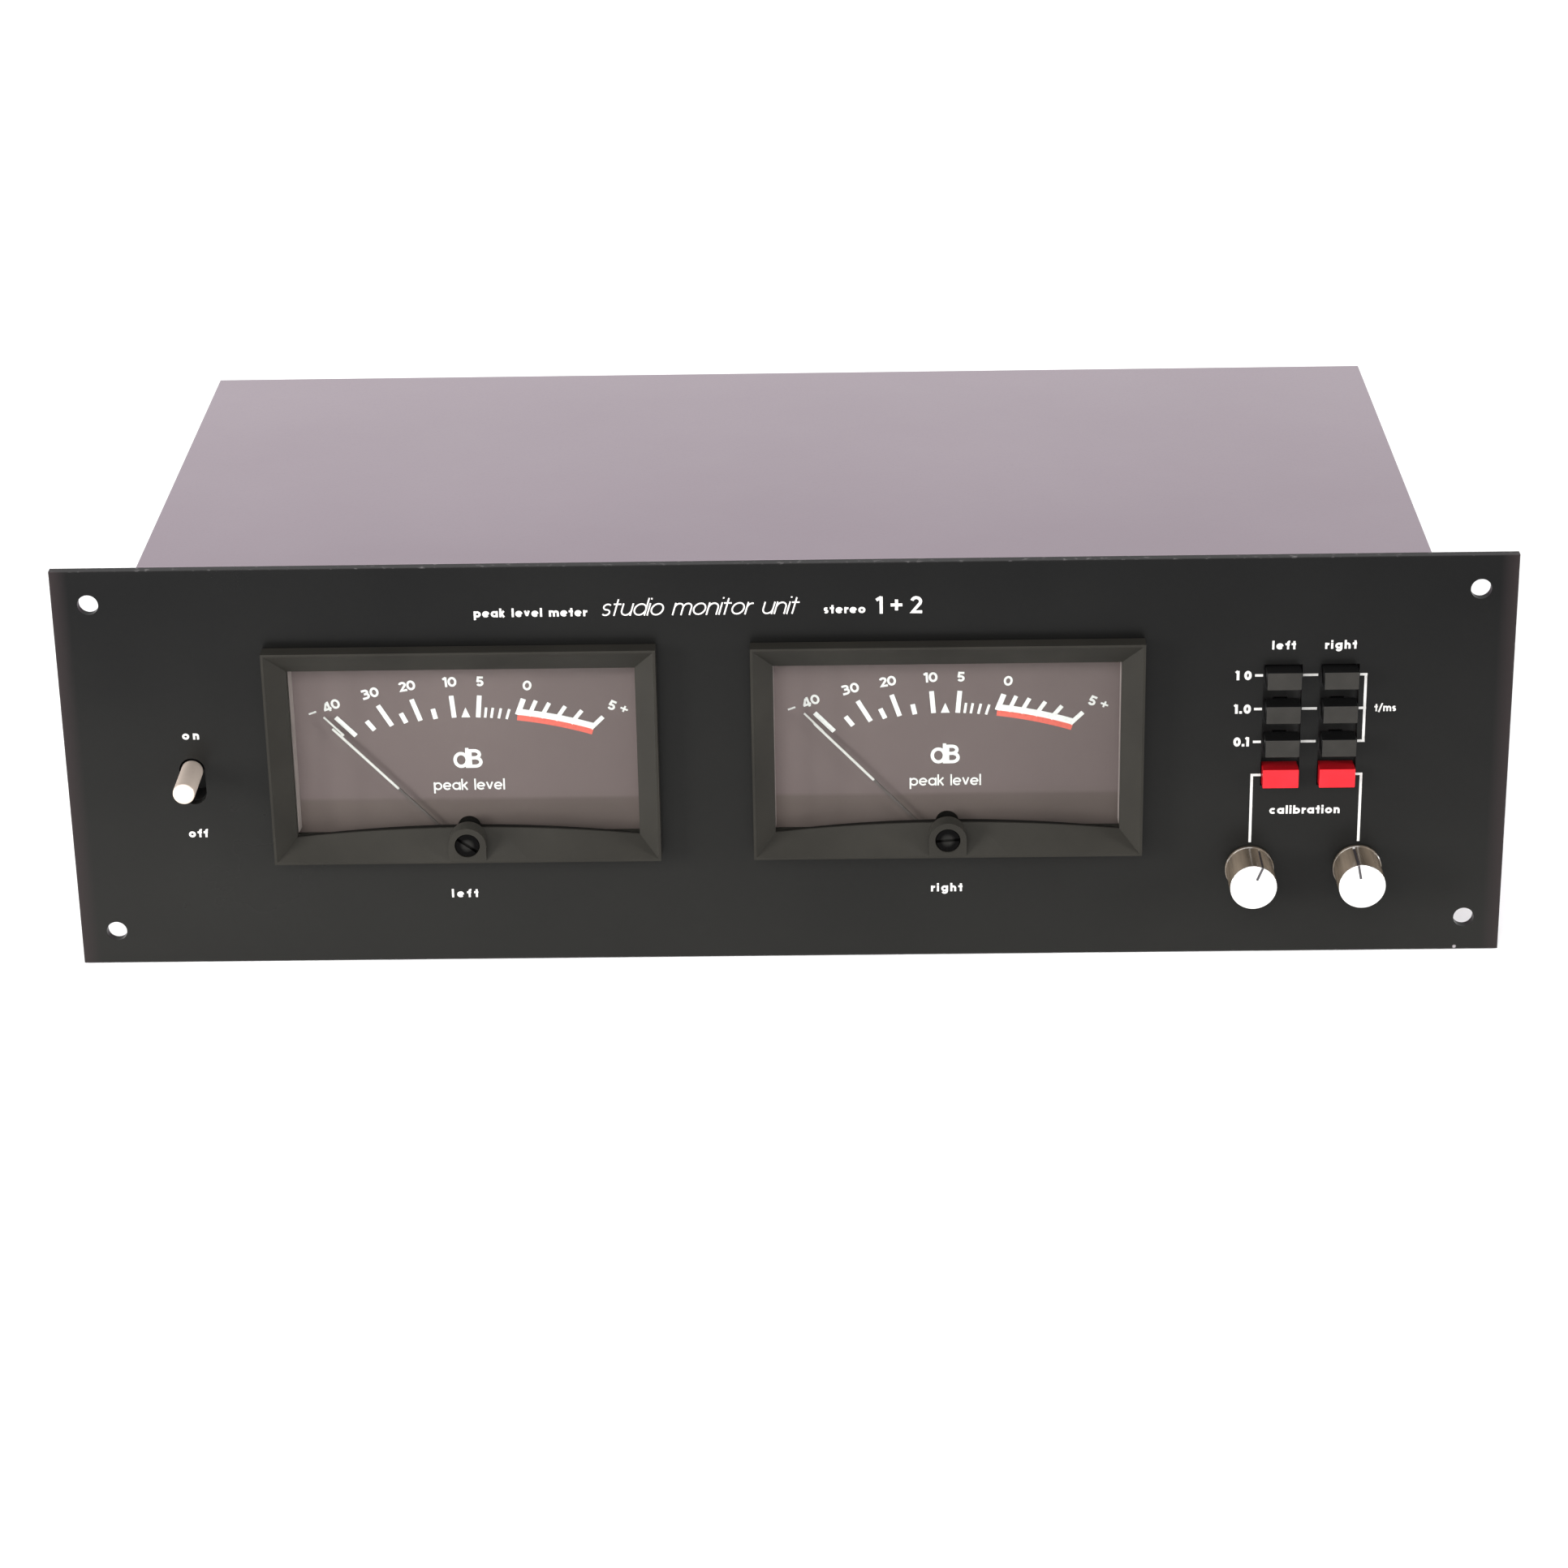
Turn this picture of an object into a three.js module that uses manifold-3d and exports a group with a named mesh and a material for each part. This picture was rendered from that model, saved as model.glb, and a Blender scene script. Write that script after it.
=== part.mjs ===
// Rack-mounted stereo peak level meter: a black front panel with two large moving-coil meters, a slide
// power switch, two columns of push buttons and two calibration knobs, on a shallow sheet-metal chassis.
//
// Millimetres. +X is to the right seen from the front, +Y runs back into the rack, +Z is up. Every shape
// is written with Y = 0 at the panel's front face and Z = 0 under the unit. The exported group is then
// moved forward, so that its origin is the middle of the footprint.
import * as THREE from "three";
import { mergeVertices } from "three/addons/utils/BufferGeometryUtils.js";
import Module from "manifold-3d";

const wasm = await Module();
wasm.setup();

// ---------------------------------------------------------------- driving dimensions

const GAP = 0.3; // clearance between touching pieces
const OVERRUN = 1; // how far a cutting shape is carried past the face it opens

const PANEL = { width: 489.6, height: 144.7, thickness: 3.2 };
const RACK_HOLES = { spacingX: 465.1, spacingZ: 120.65, radius: 3.5 };

const CHASSIS = { width: 431.8, back: 208, sheet: 1.5, flange: 20 };
const BRACKET = { sheet: 2, foot: 10, footSheet: 1.6, depth: 26, low: 8, high: 135, footHeight: 35 };
const COVER_SCREW = { headRadius: 3.5, headHeight: 2, shankRadius: 1.5, length: 5, z: 12 };
const COVER_SCREW_SLOT = { depth: 0.8, halfWidth: 0.5 };
const COVER_SCREW_Y = { front: 40, rear: 170 };

const METER_X = { left: -109, right: 54.9 }; // centre lines of the two meters
const BEZEL = { halfWidth: 66.1, low: 39.4, high: 116.6, rise: 6.5, rim: 0.8 };
const WINDOW = { halfWidth: 58.7, low: 46.8, high: 108, arch: 3, lip: 0.8 };
const TUBE = { wall: 1.6, back: 4.2 }; // the part of the bezel that passes through the panel
const PANE = { front: 1.1, thickness: 2 };
const METER_CASE = { halfWidth: 62, low: 22, high: 113.5, back: 48, wall: 1.6 };
const TERMINAL = { x: 20, z: 80, radius: 2, length: 8 };
const DIAL = { front: 8, thickness: 0.8, halfWidth: 59.5, low: 45, high: 111 };
const PIVOT_Z = 37;
const POINTER = { y: 6, thickness: 0.4, width: 0.8, armLength: 65.4, tipWidth: 0.6, tipStart: 61 };
const POINTER_TIP = { radius: 70.4, shift: { left: 1, right: 0.2 } };
const POINTER_REST_DEG = -43.6; // from upright, anticlockwise seen from the front
const HUB = { radius: 2.4, back: 9.7, tail: 9 };
const MAGNET = { halfWidth: 17, low: 24, high: 50, front: 10, back: 46, bore: 11 };
const COIL = { radius: 9.4, thickness: 3.2, front: 12, back: 34, window: 3, shaft: 1 };
const ZERO_SCREW = { z: 45.8, radius: 4, front: -6.2, back: -1.2, stem: 0.9, slot: 1, slotDepth: 1.2 };
const ZERO_STEM_HOLE = 3; // radius of the panel's hole for the stem
const ZERO_SLOT_DEG = { left: 36, right: -4 }; // slope of the screwdriver slot, clockwise
const ZERO_PIN = { radius: 0.5, offset: 0.8, front: 2.8, back: 5 };
const BOSS = { radius: 6.4, hole: 4.3 };
const FORK = { y: 4.5, thickness: 0.7, headZ: 47.9, headRadius: 4, slot: 0.8, arm: 2.4, hub: 4 };

const POWER = { x: -202, z: 68.1, slotWidth: 8.7, slotHeight: 16.9, radius: 3.7, front: -20 };
const POWER_TRAVEL = 7.8; // the lever rests at the upper end of its slot
const POWER_BODY = { halfWidth: 7, halfHeight: 15, front: 4, back: 22, pocketBack: 14 };

const BUTTON_X = { left: 167.6, right: 186.7 };
const BUTTON_Z = { fast: 78.2, medium: 90.4, slow: 102.6, calibrate: 66.2 };
const BUTTON = { width: 11.6, height: 6.3, length: 8, front: -6.2 }; // front: where a released cap stands
const RED_BUTTON = { width: 12.2, height: 6.8, length: 8, front: -7.5 };
const BUTTON_TRAVEL = 3.5;
const STEM = { width: 4, height: 3, back: 50 };
const BUTTON_SLOT = { width: 13, low: 62.2, high: 106.4 };
const BANK = { halfWidth: 7.6, low: 60.4, high: 108, front: 5.6, back: 42, earHeight: 6, earSheet: 1.2 };

const POT_X = { left: 158.2, right: 195 };
const POT = { z: 31.8, radius: 10, front: 5.5, back: 16, bushRadius: 3.6, bushFront: -2.6 };
const POT_PLAY = { panel: 0.4, shaft: 0.2 }; // round the bush, and round the shaft in it
const POT_NUT = { radius: 5.4, front: -2.2, back: -0.3 };
const SHAFT = { radius: 3, front: -12, back: 18 };
const KNOB = { radius: 8, skirt: 8.35, skirtHeight: 1.4, front: -17, back: -0.7 };
const KNOB_HOLLOW = { radius: 6.6, front: -3.4 };
const KNOB_CAP = { thickness: 0.9, lineWidth: 0.7, lineDepth: 0.3, lineStart: 2.88 };
const KNOB_GROOVE = { width: 0.9, depth: 0.5 };
const KNOB_REST_DEG = { left: 22, right: -10.7 }; // clockwise from upright seen from the front

const BOARD = { x0: -60, x1: 140, y0: 64, y1: 190, z: 12, thickness: 1.6 };
const STANDOFF = { radius: 3, inset: 6 };
const CAPACITOR = { radius: 12, height: 32, x: { first: -36, second: -6 }, y: 160 };
const CHIP = { width: 20, depth: 7, height: 4, y: 100, x: { left: 30, right: 90 } };
const TRANSFORMER = { x: -150, y: 140, width: 66, depth: 30, height: 56, leg: 20, yoke: 10, coilReach: 12 };

const REAR_PANEL = { halfWidth: 213.5, low: 1.8, high: 142.9, thickness: 1.6 };
const INLET = { x: -170, z: 60, cupWidth: 27, cupHeight: 19.6, flangeWidth: 48, flangeHeight: 23 };
const INLET_DEPTH = { flange: 2.5, behind: 22, wall: 1.8, pin: 14 };
const FUSE = { x: -120, z: 60, bodyRadius: 6.2, flangeRadius: 8.5, bore: 5, capRadius: 4.6, gripRadius: 6.5 };
const FUSE_DEPTH = { inside: 34, flange: 2.5, capInside: 24, end: 220 };
const FUSE_SLOT = { depth: 1.5, halfWidth: 0.7 };
const JACK = { z: 60, x: { left: 110, right: 150 }, boreRadius: 3.2, wall: 1.6, nutRadius: 7, bodyHalf: 9 };
const JACK_DEPTH = { nut: 3, thread: 5.5, inside: 28 };

const FRONT_MOST = POWER.front;
const REAR_MOST = FUSE_DEPTH.end;

// ---------------------------------------------------------------- solid helpers

// A manifold-3d solid from a closed three.js geometry.
function solid(geometry) {
  const bare = geometry.index ? geometry.toNonIndexed() : geometry.clone();
  bare.deleteAttribute("normal");
  bare.deleteAttribute("uv");
  const merged = mergeVertices(bare, 1e-4);
  return new wasm.Manifold(
    new wasm.Mesh({
      numProp: 3,
      vertProperties: new Float32Array(merged.attributes.position.array),
      triVerts: new Uint32Array(merged.index.array),
    }),
  );
}

// A block between two corners, given as low and high limits along each axis.
function block(x0, x1, y0, y1, z0, z1) {
  const box = new THREE.BoxGeometry(x1 - x0, y1 - y0, z1 - z0);
  return solid(box.translate((x0 + x1) / 2, (y0 + y1) / 2, (z0 + z1) / 2));
}

// A round bar along Y.
function rodY(radius, y0, y1, x = 0, z = 0, segments = 32) {
  const rod = new THREE.CylinderGeometry(radius, radius, y1 - y0, segments);
  return solid(rod.translate(x, (y0 + y1) / 2, z));
}

// A round bar along X.
function rodX(radius, x0, x1, y, z, segments = 20) {
  const rod = new THREE.CylinderGeometry(radius, radius, x1 - x0, segments);
  return solid(rod.rotateZ(Math.PI / 2).translate((x0 + x1) / 2, y, z));
}

// A round bar along Z.
function rodZ(radius, z0, z1, x, y, segments = 32) {
  const rod = new THREE.CylinderGeometry(radius, radius, z1 - z0, segments);
  return solid(rod.rotateX(Math.PI / 2).translate(x, y, (z0 + z1) / 2));
}

// A flat outline in the X-Z plane, thickened from y0 to y1.
function plateY(shape, y0, y1, curveSegments = 12) {
  const options = { depth: y1 - y0, bevelEnabled: false, curveSegments };
  const plate = new THREE.ExtrudeGeometry(shape, options);
  return solid(plate.rotateX(Math.PI / 2).translate(0, y1, 0));
}

// A solid between two outlines of the same number of points, one at y0 and one at y1.
function loftY(frontLoop, backLoop, y0, y1) {
  const count = frontLoop.length;
  const corners = [
    ...frontLoop.map((p) => [p.x, y0, p.y]),
    ...backLoop.map((p) => [p.x, y1, p.y]),
  ];
  const faces = [];
  for (const [a, b, c] of THREE.ShapeUtils.triangulateShape(frontLoop, [])) faces.push(a, b, c);
  for (const [a, b, c] of THREE.ShapeUtils.triangulateShape(backLoop, [])) {
    faces.push(count + a, count + c, count + b);
  }
  for (let i = 0; i < count; i += 1) {
    const next = (i + 1) % count;
    faces.push(i, count + i, next, next, count + i, count + next);
  }
  const geometry = new THREE.BufferGeometry();
  geometry.setAttribute("position", new THREE.Float32BufferAttribute(corners.flat(), 3));
  geometry.setIndex(faces);
  return solid(geometry);
}

const joined = (first, ...others) => others.reduce((sum, other) => sum.add(other), first);
const cut = (first, ...others) => others.reduce((rest, other) => rest.subtract(other), first);

// An upright slot with round ends, as an outline in the X-Z plane.
function slotShape(x, z, width, height) {
  const r = width / 2;
  const straight = height / 2 - r;
  const shape = new THREE.Shape();
  shape.moveTo(x + r, z - straight);
  shape.lineTo(x + r, z + straight);
  shape.absarc(x, z + straight, r, 0, Math.PI, false);
  shape.lineTo(x - r, z - straight);
  shape.absarc(x, z - straight, r, Math.PI, 2 * Math.PI, false);
  return shape;
}

// ---------------------------------------------------------------- materials and nodes

const finish = (color, roughness, metalness) =>
  new THREE.MeshStandardMaterial({ color, roughness, metalness });

const MATERIAL = {
  panel: finish(0x2a2b2a, 0.55, 0.2),
  chassis: finish(0xa79ca5, 0.5, 0.3),
  zinc: finish(0x9a9c9e, 0.4, 0.9),
  bezel: finish(0x303230, 0.4, 0),
  glass: finish(0xd8dde0, 0.05, 0),
  dial: finish(0x4a4442, 0.6, 0),
  pointer: finish(0xf2f2ee, 0.5, 0),
  copper: finish(0xb06a3a, 0.35, 0.9),
  magnet: finish(0x55585c, 0.4, 0.9),
  blackPlastic: finish(0x161616, 0.45, 0),
  redPlastic: finish(0xe0203a, 0.35, 0),
  aluminium: finish(0xd0cdc8, 0.3, 1),
  knob: finish(0x241c18, 0.15, 0),
  board: finish(0x2f6b3c, 0.6, 0),
  steel: finish(0x8d9094, 0.35, 0.9),
  phenolic: finish(0x7a4a2a, 0.6, 0),
};

function node(name, shape, material) {
  const { vertProperties, triVerts } = shape.getMesh();
  const geometry = new THREE.BufferGeometry();
  geometry.setAttribute("position", new THREE.Float32BufferAttribute(vertProperties, 3));
  geometry.setIndex(new THREE.BufferAttribute(triVerts, 1));
  geometry.computeVertexNormals();
  const mesh = new THREE.Mesh(geometry, material);
  mesh.name = name;
  return mesh;
}

const degrees = THREE.MathUtils.degToRad;

// ---------------------------------------------------------------- front panel and chassis

const THROUGH_PANEL = [-OVERRUN, PANEL.thickness + OVERRUN];

function frontPanel() {
  const halfWidth = PANEL.width / 2;
  const holes = [];
  for (const sx of [-1, 1]) {
    for (const sz of [-1, 1]) {
      const x = (sx * RACK_HOLES.spacingX) / 2;
      const z = PANEL.height / 2 + (sz * RACK_HOLES.spacingZ) / 2;
      holes.push(rodY(RACK_HOLES.radius, ...THROUGH_PANEL, x, z, 32));
    }
  }
  for (const x of Object.values(METER_X)) {
    const side = WINDOW.halfWidth + TUBE.wall + 0.5;
    const low = WINDOW.low - TUBE.wall - 0.5;
    const high = WINDOW.high + TUBE.wall + 0.5;
    holes.push(block(x - side, x + side, ...THROUGH_PANEL, low, high));
    holes.push(rodY(ZERO_STEM_HOLE, ...THROUGH_PANEL, x, ZERO_SCREW.z, 24));
  }
  for (const x of Object.values(BUTTON_X)) {
    const half = BUTTON_SLOT.width / 2;
    holes.push(block(x - half, x + half, ...THROUGH_PANEL, BUTTON_SLOT.low, BUTTON_SLOT.high));
  }
  for (const x of Object.values(POT_X)) {
    holes.push(rodY(POT.bushRadius + POT_PLAY.panel, ...THROUGH_PANEL, x, POT.z, 24));
  }
  const powerSlot = slotShape(POWER.x, POWER.z, POWER.slotWidth, POWER.slotHeight);
  holes.push(plateY(powerSlot, ...THROUGH_PANEL));
  return cut(block(-halfWidth, halfWidth, 0, PANEL.thickness, 0, PANEL.height), ...holes);
}

const SHEET_FRONT = PANEL.thickness + GAP;
const COVER_INSIDE = CHASSIS.width / 2 - CHASSIS.sheet;
const TRAY_HALF = COVER_INSIDE - GAP;

// Two distances out from the middle, as low and high limits along X on the given side.
const span = (side, a, b) => [Math.min(side * a, side * b), Math.max(side * a, side * b)];

function coverScrewHoles() {
  const holes = [];
  const { shankRadius, length, z } = COVER_SCREW;
  for (const side of [-1, 1]) {
    for (const y of Object.values(COVER_SCREW_Y)) {
      const reach = span(side, TRAY_HALF - length - OVERRUN, CHASSIS.width / 2 + OVERRUN);
      holes.push(rodX(shankRadius + GAP, ...reach, y, z));
    }
  }
  return holes;
}

// The bottom plate with its upturned side flanges and the pressed-in board supports.
function chassisTray() {
  const back = CHASSIS.back - REAR_PANEL.thickness - GAP;
  const pieces = [block(-TRAY_HALF, TRAY_HALF, SHEET_FRONT, back, 0, CHASSIS.sheet)];
  for (const side of [-1, 1]) {
    const across = span(side, TRAY_HALF - CHASSIS.sheet, TRAY_HALF);
    pieces.push(block(...across, SHEET_FRONT, back, 0, CHASSIS.flange));
  }
  for (const x of [BOARD.x0 + STANDOFF.inset, BOARD.x1 - STANDOFF.inset]) {
    for (const y of [BOARD.y0 + STANDOFF.inset, BOARD.y1 - STANDOFF.inset]) {
      pieces.push(rodZ(STANDOFF.radius, 0.5, BOARD.z - GAP, x, y, 16));
    }
  }
  return cut(joined(...pieces), ...coverScrewHoles());
}

// The top and both sides, folded from one sheet.
function topCover() {
  const half = CHASSIS.width / 2;
  const outside = block(-half, half, SHEET_FRONT, CHASSIS.back, 0.4, PANEL.height);
  const inside = block(
    -COVER_INSIDE, COVER_INSIDE,
    SHEET_FRONT - OVERRUN, CHASSIS.back + OVERRUN, -OVERRUN, PANEL.height - CHASSIS.sheet,
  );
  return cut(outside, inside, ...coverScrewHoles());
}

// An angle piece that ties one end of the front panel to the chassis, with a foot above and below.
function panelBracket(side) {
  const outer = TRAY_HALF - CHASSIS.sheet - GAP;
  const web = span(side, outer - BRACKET.sheet, outer);
  const foot = span(side, outer - BRACKET.foot, outer);
  const front = SHEET_FRONT;
  const footTop = BRACKET.low + BRACKET.footHeight;
  const headLow = BRACKET.high - BRACKET.footHeight;
  return joined(
    block(...web, front, front + BRACKET.depth, BRACKET.low, BRACKET.high),
    block(...foot, front, front + BRACKET.footSheet, BRACKET.low, footTop),
    block(...foot, front, front + BRACKET.footSheet, headLow, BRACKET.high),
  );
}

function coverScrew(side, y) {
  const { headRadius, headHeight, shankRadius, length, z } = COVER_SCREW;
  const { depth, halfWidth } = COVER_SCREW_SLOT;
  const under = CHASSIS.width / 2 + GAP / 2;
  const top = under + headHeight;
  const head = rodX(headRadius, ...span(side, under, top), y, z);
  const shank = rodX(shankRadius, ...span(side, under - length, under + 1), y, z);
  const slotX = span(side, top - depth, top + OVERRUN);
  return cut(
    joined(head, shank),
    block(...slotX, y - headRadius - 0.5, y + headRadius + 0.5, z - halfWidth, z + halfWidth),
  );
}

function rearPanel() {
  const front = CHASSIS.back - REAR_PANEL.thickness;
  const through = [front - OVERRUN, CHASSIS.back + OVERRUN];
  const round = INLET_DEPTH.wall + GAP;
  const cup = { w: INLET.cupWidth / 2 + round, h: INLET.cupHeight / 2 + round };
  const holes = [
    block(INLET.x - cup.w, INLET.x + cup.w, ...through, INLET.z - cup.h, INLET.z + cup.h),
    rodY(FUSE.bodyRadius + GAP, ...through, FUSE.x, FUSE.z),
  ];
  for (const x of Object.values(JACK.x)) {
    holes.push(rodY(JACK.boreRadius + JACK.wall + GAP, ...through, x, JACK.z));
  }
  const { halfWidth, low, high } = REAR_PANEL;
  return cut(block(-halfWidth, halfWidth, front, CHASSIS.back, low, high), ...holes);
}

// ---------------------------------------------------------------- meters

// The window outline: straight at the sides and top, with its lower edge bowed up by `arch`.
function windowLoop(halfWidth, low, high, arch, steps = 12) {
  const loop = [];
  for (let i = 0; i <= steps; i += 1) {
    const t = (2 * i) / steps - 1;
    loop.push(new THREE.Vector2(t * halfWidth, low + arch * (1 - t * t)));
  }
  loop.push(new THREE.Vector2(halfWidth, high), new THREE.Vector2(-halfWidth, high));
  return loop;
}

function meterBezel() {
  const frame = block(-BEZEL.halfWidth, BEZEL.halfWidth, -BEZEL.rise, -GAP, BEZEL.low, BEZEL.high);
  const wall = TUBE.wall;
  const tube = block(
    -WINDOW.halfWidth - wall, WINDOW.halfWidth + wall, -1, TUBE.back, WINDOW.low - wall, WINDOW.high + wall,
  );
  // The bevel is carried a little past the rim, on the same slopes.
  const past = 0.5;
  const grow = 1 + past / BEZEL.rise;
  const slopeX = (BEZEL.halfWidth - BEZEL.rim - WINDOW.halfWidth) * grow;
  const slopeUp = (BEZEL.high - BEZEL.rim - WINDOW.high) * grow;
  const slopeDown = (WINDOW.low - BEZEL.low - BEZEL.rim) * grow;
  const rimLoop = windowLoop(
    WINDOW.halfWidth + slopeX, WINDOW.low - slopeDown, WINDOW.high + slopeUp, WINDOW.arch * (1 - grow),
  );
  const innerLoop = windowLoop(WINDOW.halfWidth, WINDOW.low, WINDOW.high, WINDOW.arch);
  const bevel = loftY(rimLoop, innerLoop, -BEZEL.rise - past, 0);
  const mouth = loftY(innerLoop, innerLoop, -0.01, WINDOW.lip + 0.01);
  const seat = block(
    -WINDOW.halfWidth, WINDOW.halfWidth, WINDOW.lip, TUBE.back + OVERRUN, WINDOW.low, WINDOW.high,
  );
  const bossShape = new THREE.Shape();
  bossShape.moveTo(-BOSS.radius, BEZEL.low);
  bossShape.lineTo(BOSS.radius, BEZEL.low);
  bossShape.lineTo(BOSS.radius, ZERO_SCREW.z);
  bossShape.absarc(0, ZERO_SCREW.z, BOSS.radius, 0, Math.PI, false);
  const boss = plateY(bossShape, -BEZEL.rise, -GAP);
  const screwSeat = rodY(BOSS.hole, -BEZEL.rise - OVERRUN, ZERO_SCREW.back + GAP, 0, ZERO_SCREW.z);
  const stemHole = rodY(ZERO_SCREW.stem + 0.3, -BEZEL.rise, TUBE.back + OVERRUN, 0, ZERO_SCREW.z, 20);
  const shell = cut(joined(frame, tube), bevel, mouth, seat);
  return cut(joined(shell, boss), screwSeat, stemHole);
}

function meterPane() {
  const half = WINDOW.halfWidth - GAP;
  const back = PANE.front + PANE.thickness;
  return block(-half, half, PANE.front, back, WINDOW.low + GAP, WINDOW.high - GAP);
}

function meterCase() {
  const { halfWidth, low, high, back, wall } = METER_CASE;
  const front = SHEET_FRONT;
  const shell = cut(
    block(-halfWidth, halfWidth, front, back, low, high),
    block(-halfWidth + wall, halfWidth - wall, front - OVERRUN, back - wall, low + wall, high - wall),
  );
  const studs = [-1, 1].map((side) =>
    rodY(TERMINAL.radius, back - 0.5, back + TERMINAL.length, side * TERMINAL.x, TERMINAL.z, 16),
  );
  return joined(shell, ...studs);
}

function meterDial() {
  return block(
    -DIAL.halfWidth, DIAL.halfWidth, DIAL.front, DIAL.front + DIAL.thickness, DIAL.low, DIAL.high,
  );
}

// The permanent magnet and its pole bore, in which the coil swings.
function meterMagnet() {
  return cut(
    block(-MAGNET.halfWidth, MAGNET.halfWidth, MAGNET.front, MAGNET.back, MAGNET.low, MAGNET.high),
    rodY(MAGNET.bore, MAGNET.front - OVERRUN, MAGNET.back - 6, 0, PIVOT_Z),
  );
}

// Written upright about its own pivot, and turned to its rest angle by its mesh.
function pointer(side) {
  const shift = POINTER_TIP.shift[side];
  const arm = new THREE.Shape();
  const half = POINTER.width / 2;
  arm.moveTo(-half, -HUB.tail);
  arm.lineTo(half, -HUB.tail);
  arm.lineTo(half, POINTER.armLength);
  arm.lineTo(-half, POINTER.armLength);
  const tip = new THREE.Shape();
  const left = shift - POINTER.tipWidth / 2;
  const right = shift + POINTER.tipWidth / 2;
  tip.moveTo(left, POINTER.tipStart);
  tip.lineTo(right, POINTER.tipStart);
  tip.lineTo(right, POINTER_TIP.radius);
  tip.lineTo(left, POINTER_TIP.radius);
  const thick = POINTER.thickness;
  return joined(
    plateY(arm, 0, thick),
    plateY(tip, 0, thick),
    block(-half, right, 0, thick, POINTER.tipStart, POINTER.tipStart + 1),
    rodY(HUB.radius, -0.5, thick + 1, 0, 0, 24),
    block(-HUB.radius, HUB.radius, 0, thick + 0.6, -HUB.tail - 2, -HUB.tail + 1),
  );
}

// The coil on its frame, with the shaft that carries the pointer.
function movingCoil() {
  const half = COIL.thickness / 2;
  const frame = cut(
    block(-COIL.radius, COIL.radius, COIL.front, COIL.back, -half, half),
    block(
      -COIL.radius + COIL.window, COIL.radius - COIL.window,
      COIL.front + COIL.window, COIL.back - COIL.window, -half - OVERRUN, half + OVERRUN,
    ),
  );
  const shaft = rodY(COIL.shaft, POINTER.y + POINTER.thickness + 1 + GAP, COIL.front + 1, 0, 0, 12);
  return joined(frame, shaft);
}

function zeroScrew(side) {
  const { radius, front, back, stem, slot, slotDepth } = ZERO_SCREW;
  const head = rodY(radius, front, back);
  const groove = solid(
    new THREE.BoxGeometry(2 * radius + 2, slotDepth, slot)
      .rotateY(degrees(ZERO_SLOT_DEG[side]))
      .translate(0, front + slotDepth / 2 - 0.01, 0),
  );
  const pin = rodY(ZERO_PIN.radius, ZERO_PIN.front - 0.5, ZERO_PIN.back, 0, -ZERO_PIN.offset, 12);
  return joined(cut(head, groove), rodY(stem, back - 0.5, ZERO_PIN.front, 0, 0, 20), pin);
}

// The black lever that the screw's eccentric pin swings, written about the pivot.
function zeroFork() {
  const head = FORK.headZ - PIVOT_Z;
  const pinZ = ZERO_SCREW.z - ZERO_PIN.offset - PIVOT_Z;
  const y = [0, FORK.thickness];
  const body = joined(
    rodY(FORK.headRadius, ...y, 0, head, 28),
    block(-FORK.arm / 2, FORK.arm / 2, ...y, 0, head),
    rodY(FORK.hub, ...y, 0, 0, 24),
  );
  const slot = FORK.slot;
  return cut(body, block(-slot, slot, -1, 2, pinZ - 1.8, pinZ + 1.8));
}

function meter(side) {
  const group = new THREE.Group();
  group.position.x = METER_X[side];
  const named = (piece) => `${side}_meter_${piece}`;
  group.add(node(named("bezel"), meterBezel(), MATERIAL.bezel));
  group.add(node(named("window"), meterPane(), MATERIAL.glass));
  group.add(node(named("case"), meterCase(), MATERIAL.blackPlastic));
  group.add(node(named("dial"), meterDial(), MATERIAL.dial));
  group.add(node(named("magnet"), meterMagnet(), MATERIAL.magnet));

  const movement = new THREE.Group();
  movement.position.z = PIVOT_Z;
  const needle = node(named("pointer"), pointer(side), MATERIAL.pointer);
  needle.position.y = POINTER.y;
  needle.rotation.y = degrees(POINTER_REST_DEG);
  const coil = node(named("coil"), movingCoil(), MATERIAL.copper);
  coil.rotation.y = degrees(POINTER_REST_DEG);
  const fork = node(named("zero_fork"), zeroFork(), MATERIAL.blackPlastic);
  fork.position.y = FORK.y;
  movement.add(needle, coil, fork);
  group.add(movement);

  const screw = node(named("zero_screw"), zeroScrew(side), MATERIAL.blackPlastic);
  screw.position.z = ZERO_SCREW.z;
  group.add(screw);
  return group;
}

// ---------------------------------------------------------------- power switch

const POWER_REST_Z = POWER.z + POWER_TRAVEL / 2;

function powerSwitchBody() {
  const { halfWidth, halfHeight, front, back, pocketBack } = POWER_BODY;
  const pocket = slotShape(POWER.x, POWER.z, POWER.slotWidth, POWER.slotHeight);
  return cut(
    block(
      POWER.x - halfWidth, POWER.x + halfWidth, front, back, POWER.z - halfHeight, POWER.z + halfHeight,
    ),
    plateY(pocket, front - OVERRUN, pocketBack),
  );
}

function powerSwitchLever() {
  return rodY(POWER.radius, POWER.front, POWER_BODY.pocketBack - 1, 0, 0, 40);
}

function powerSwitch() {
  const group = new THREE.Group();
  group.add(node("power_switch_body", powerSwitchBody(), MATERIAL.blackPlastic));
  const lever = node("power_switch_lever", powerSwitchLever(), MATERIAL.aluminium);
  lever.position.set(POWER.x, 0, POWER_REST_Z);
  group.add(lever);
  return group;
}

// ---------------------------------------------------------------- push buttons

// A cap on its stem, written with its front face at y = 0.
function button(cap) {
  const half = { x: STEM.width / 2, z: STEM.height / 2 };
  return joined(
    block(-cap.width / 2, cap.width / 2, 0, cap.length, -cap.height / 2, cap.height / 2),
    block(-half.x, half.x, cap.length - 1, STEM.back - cap.front, -half.z, half.z),
  );
}

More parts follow.
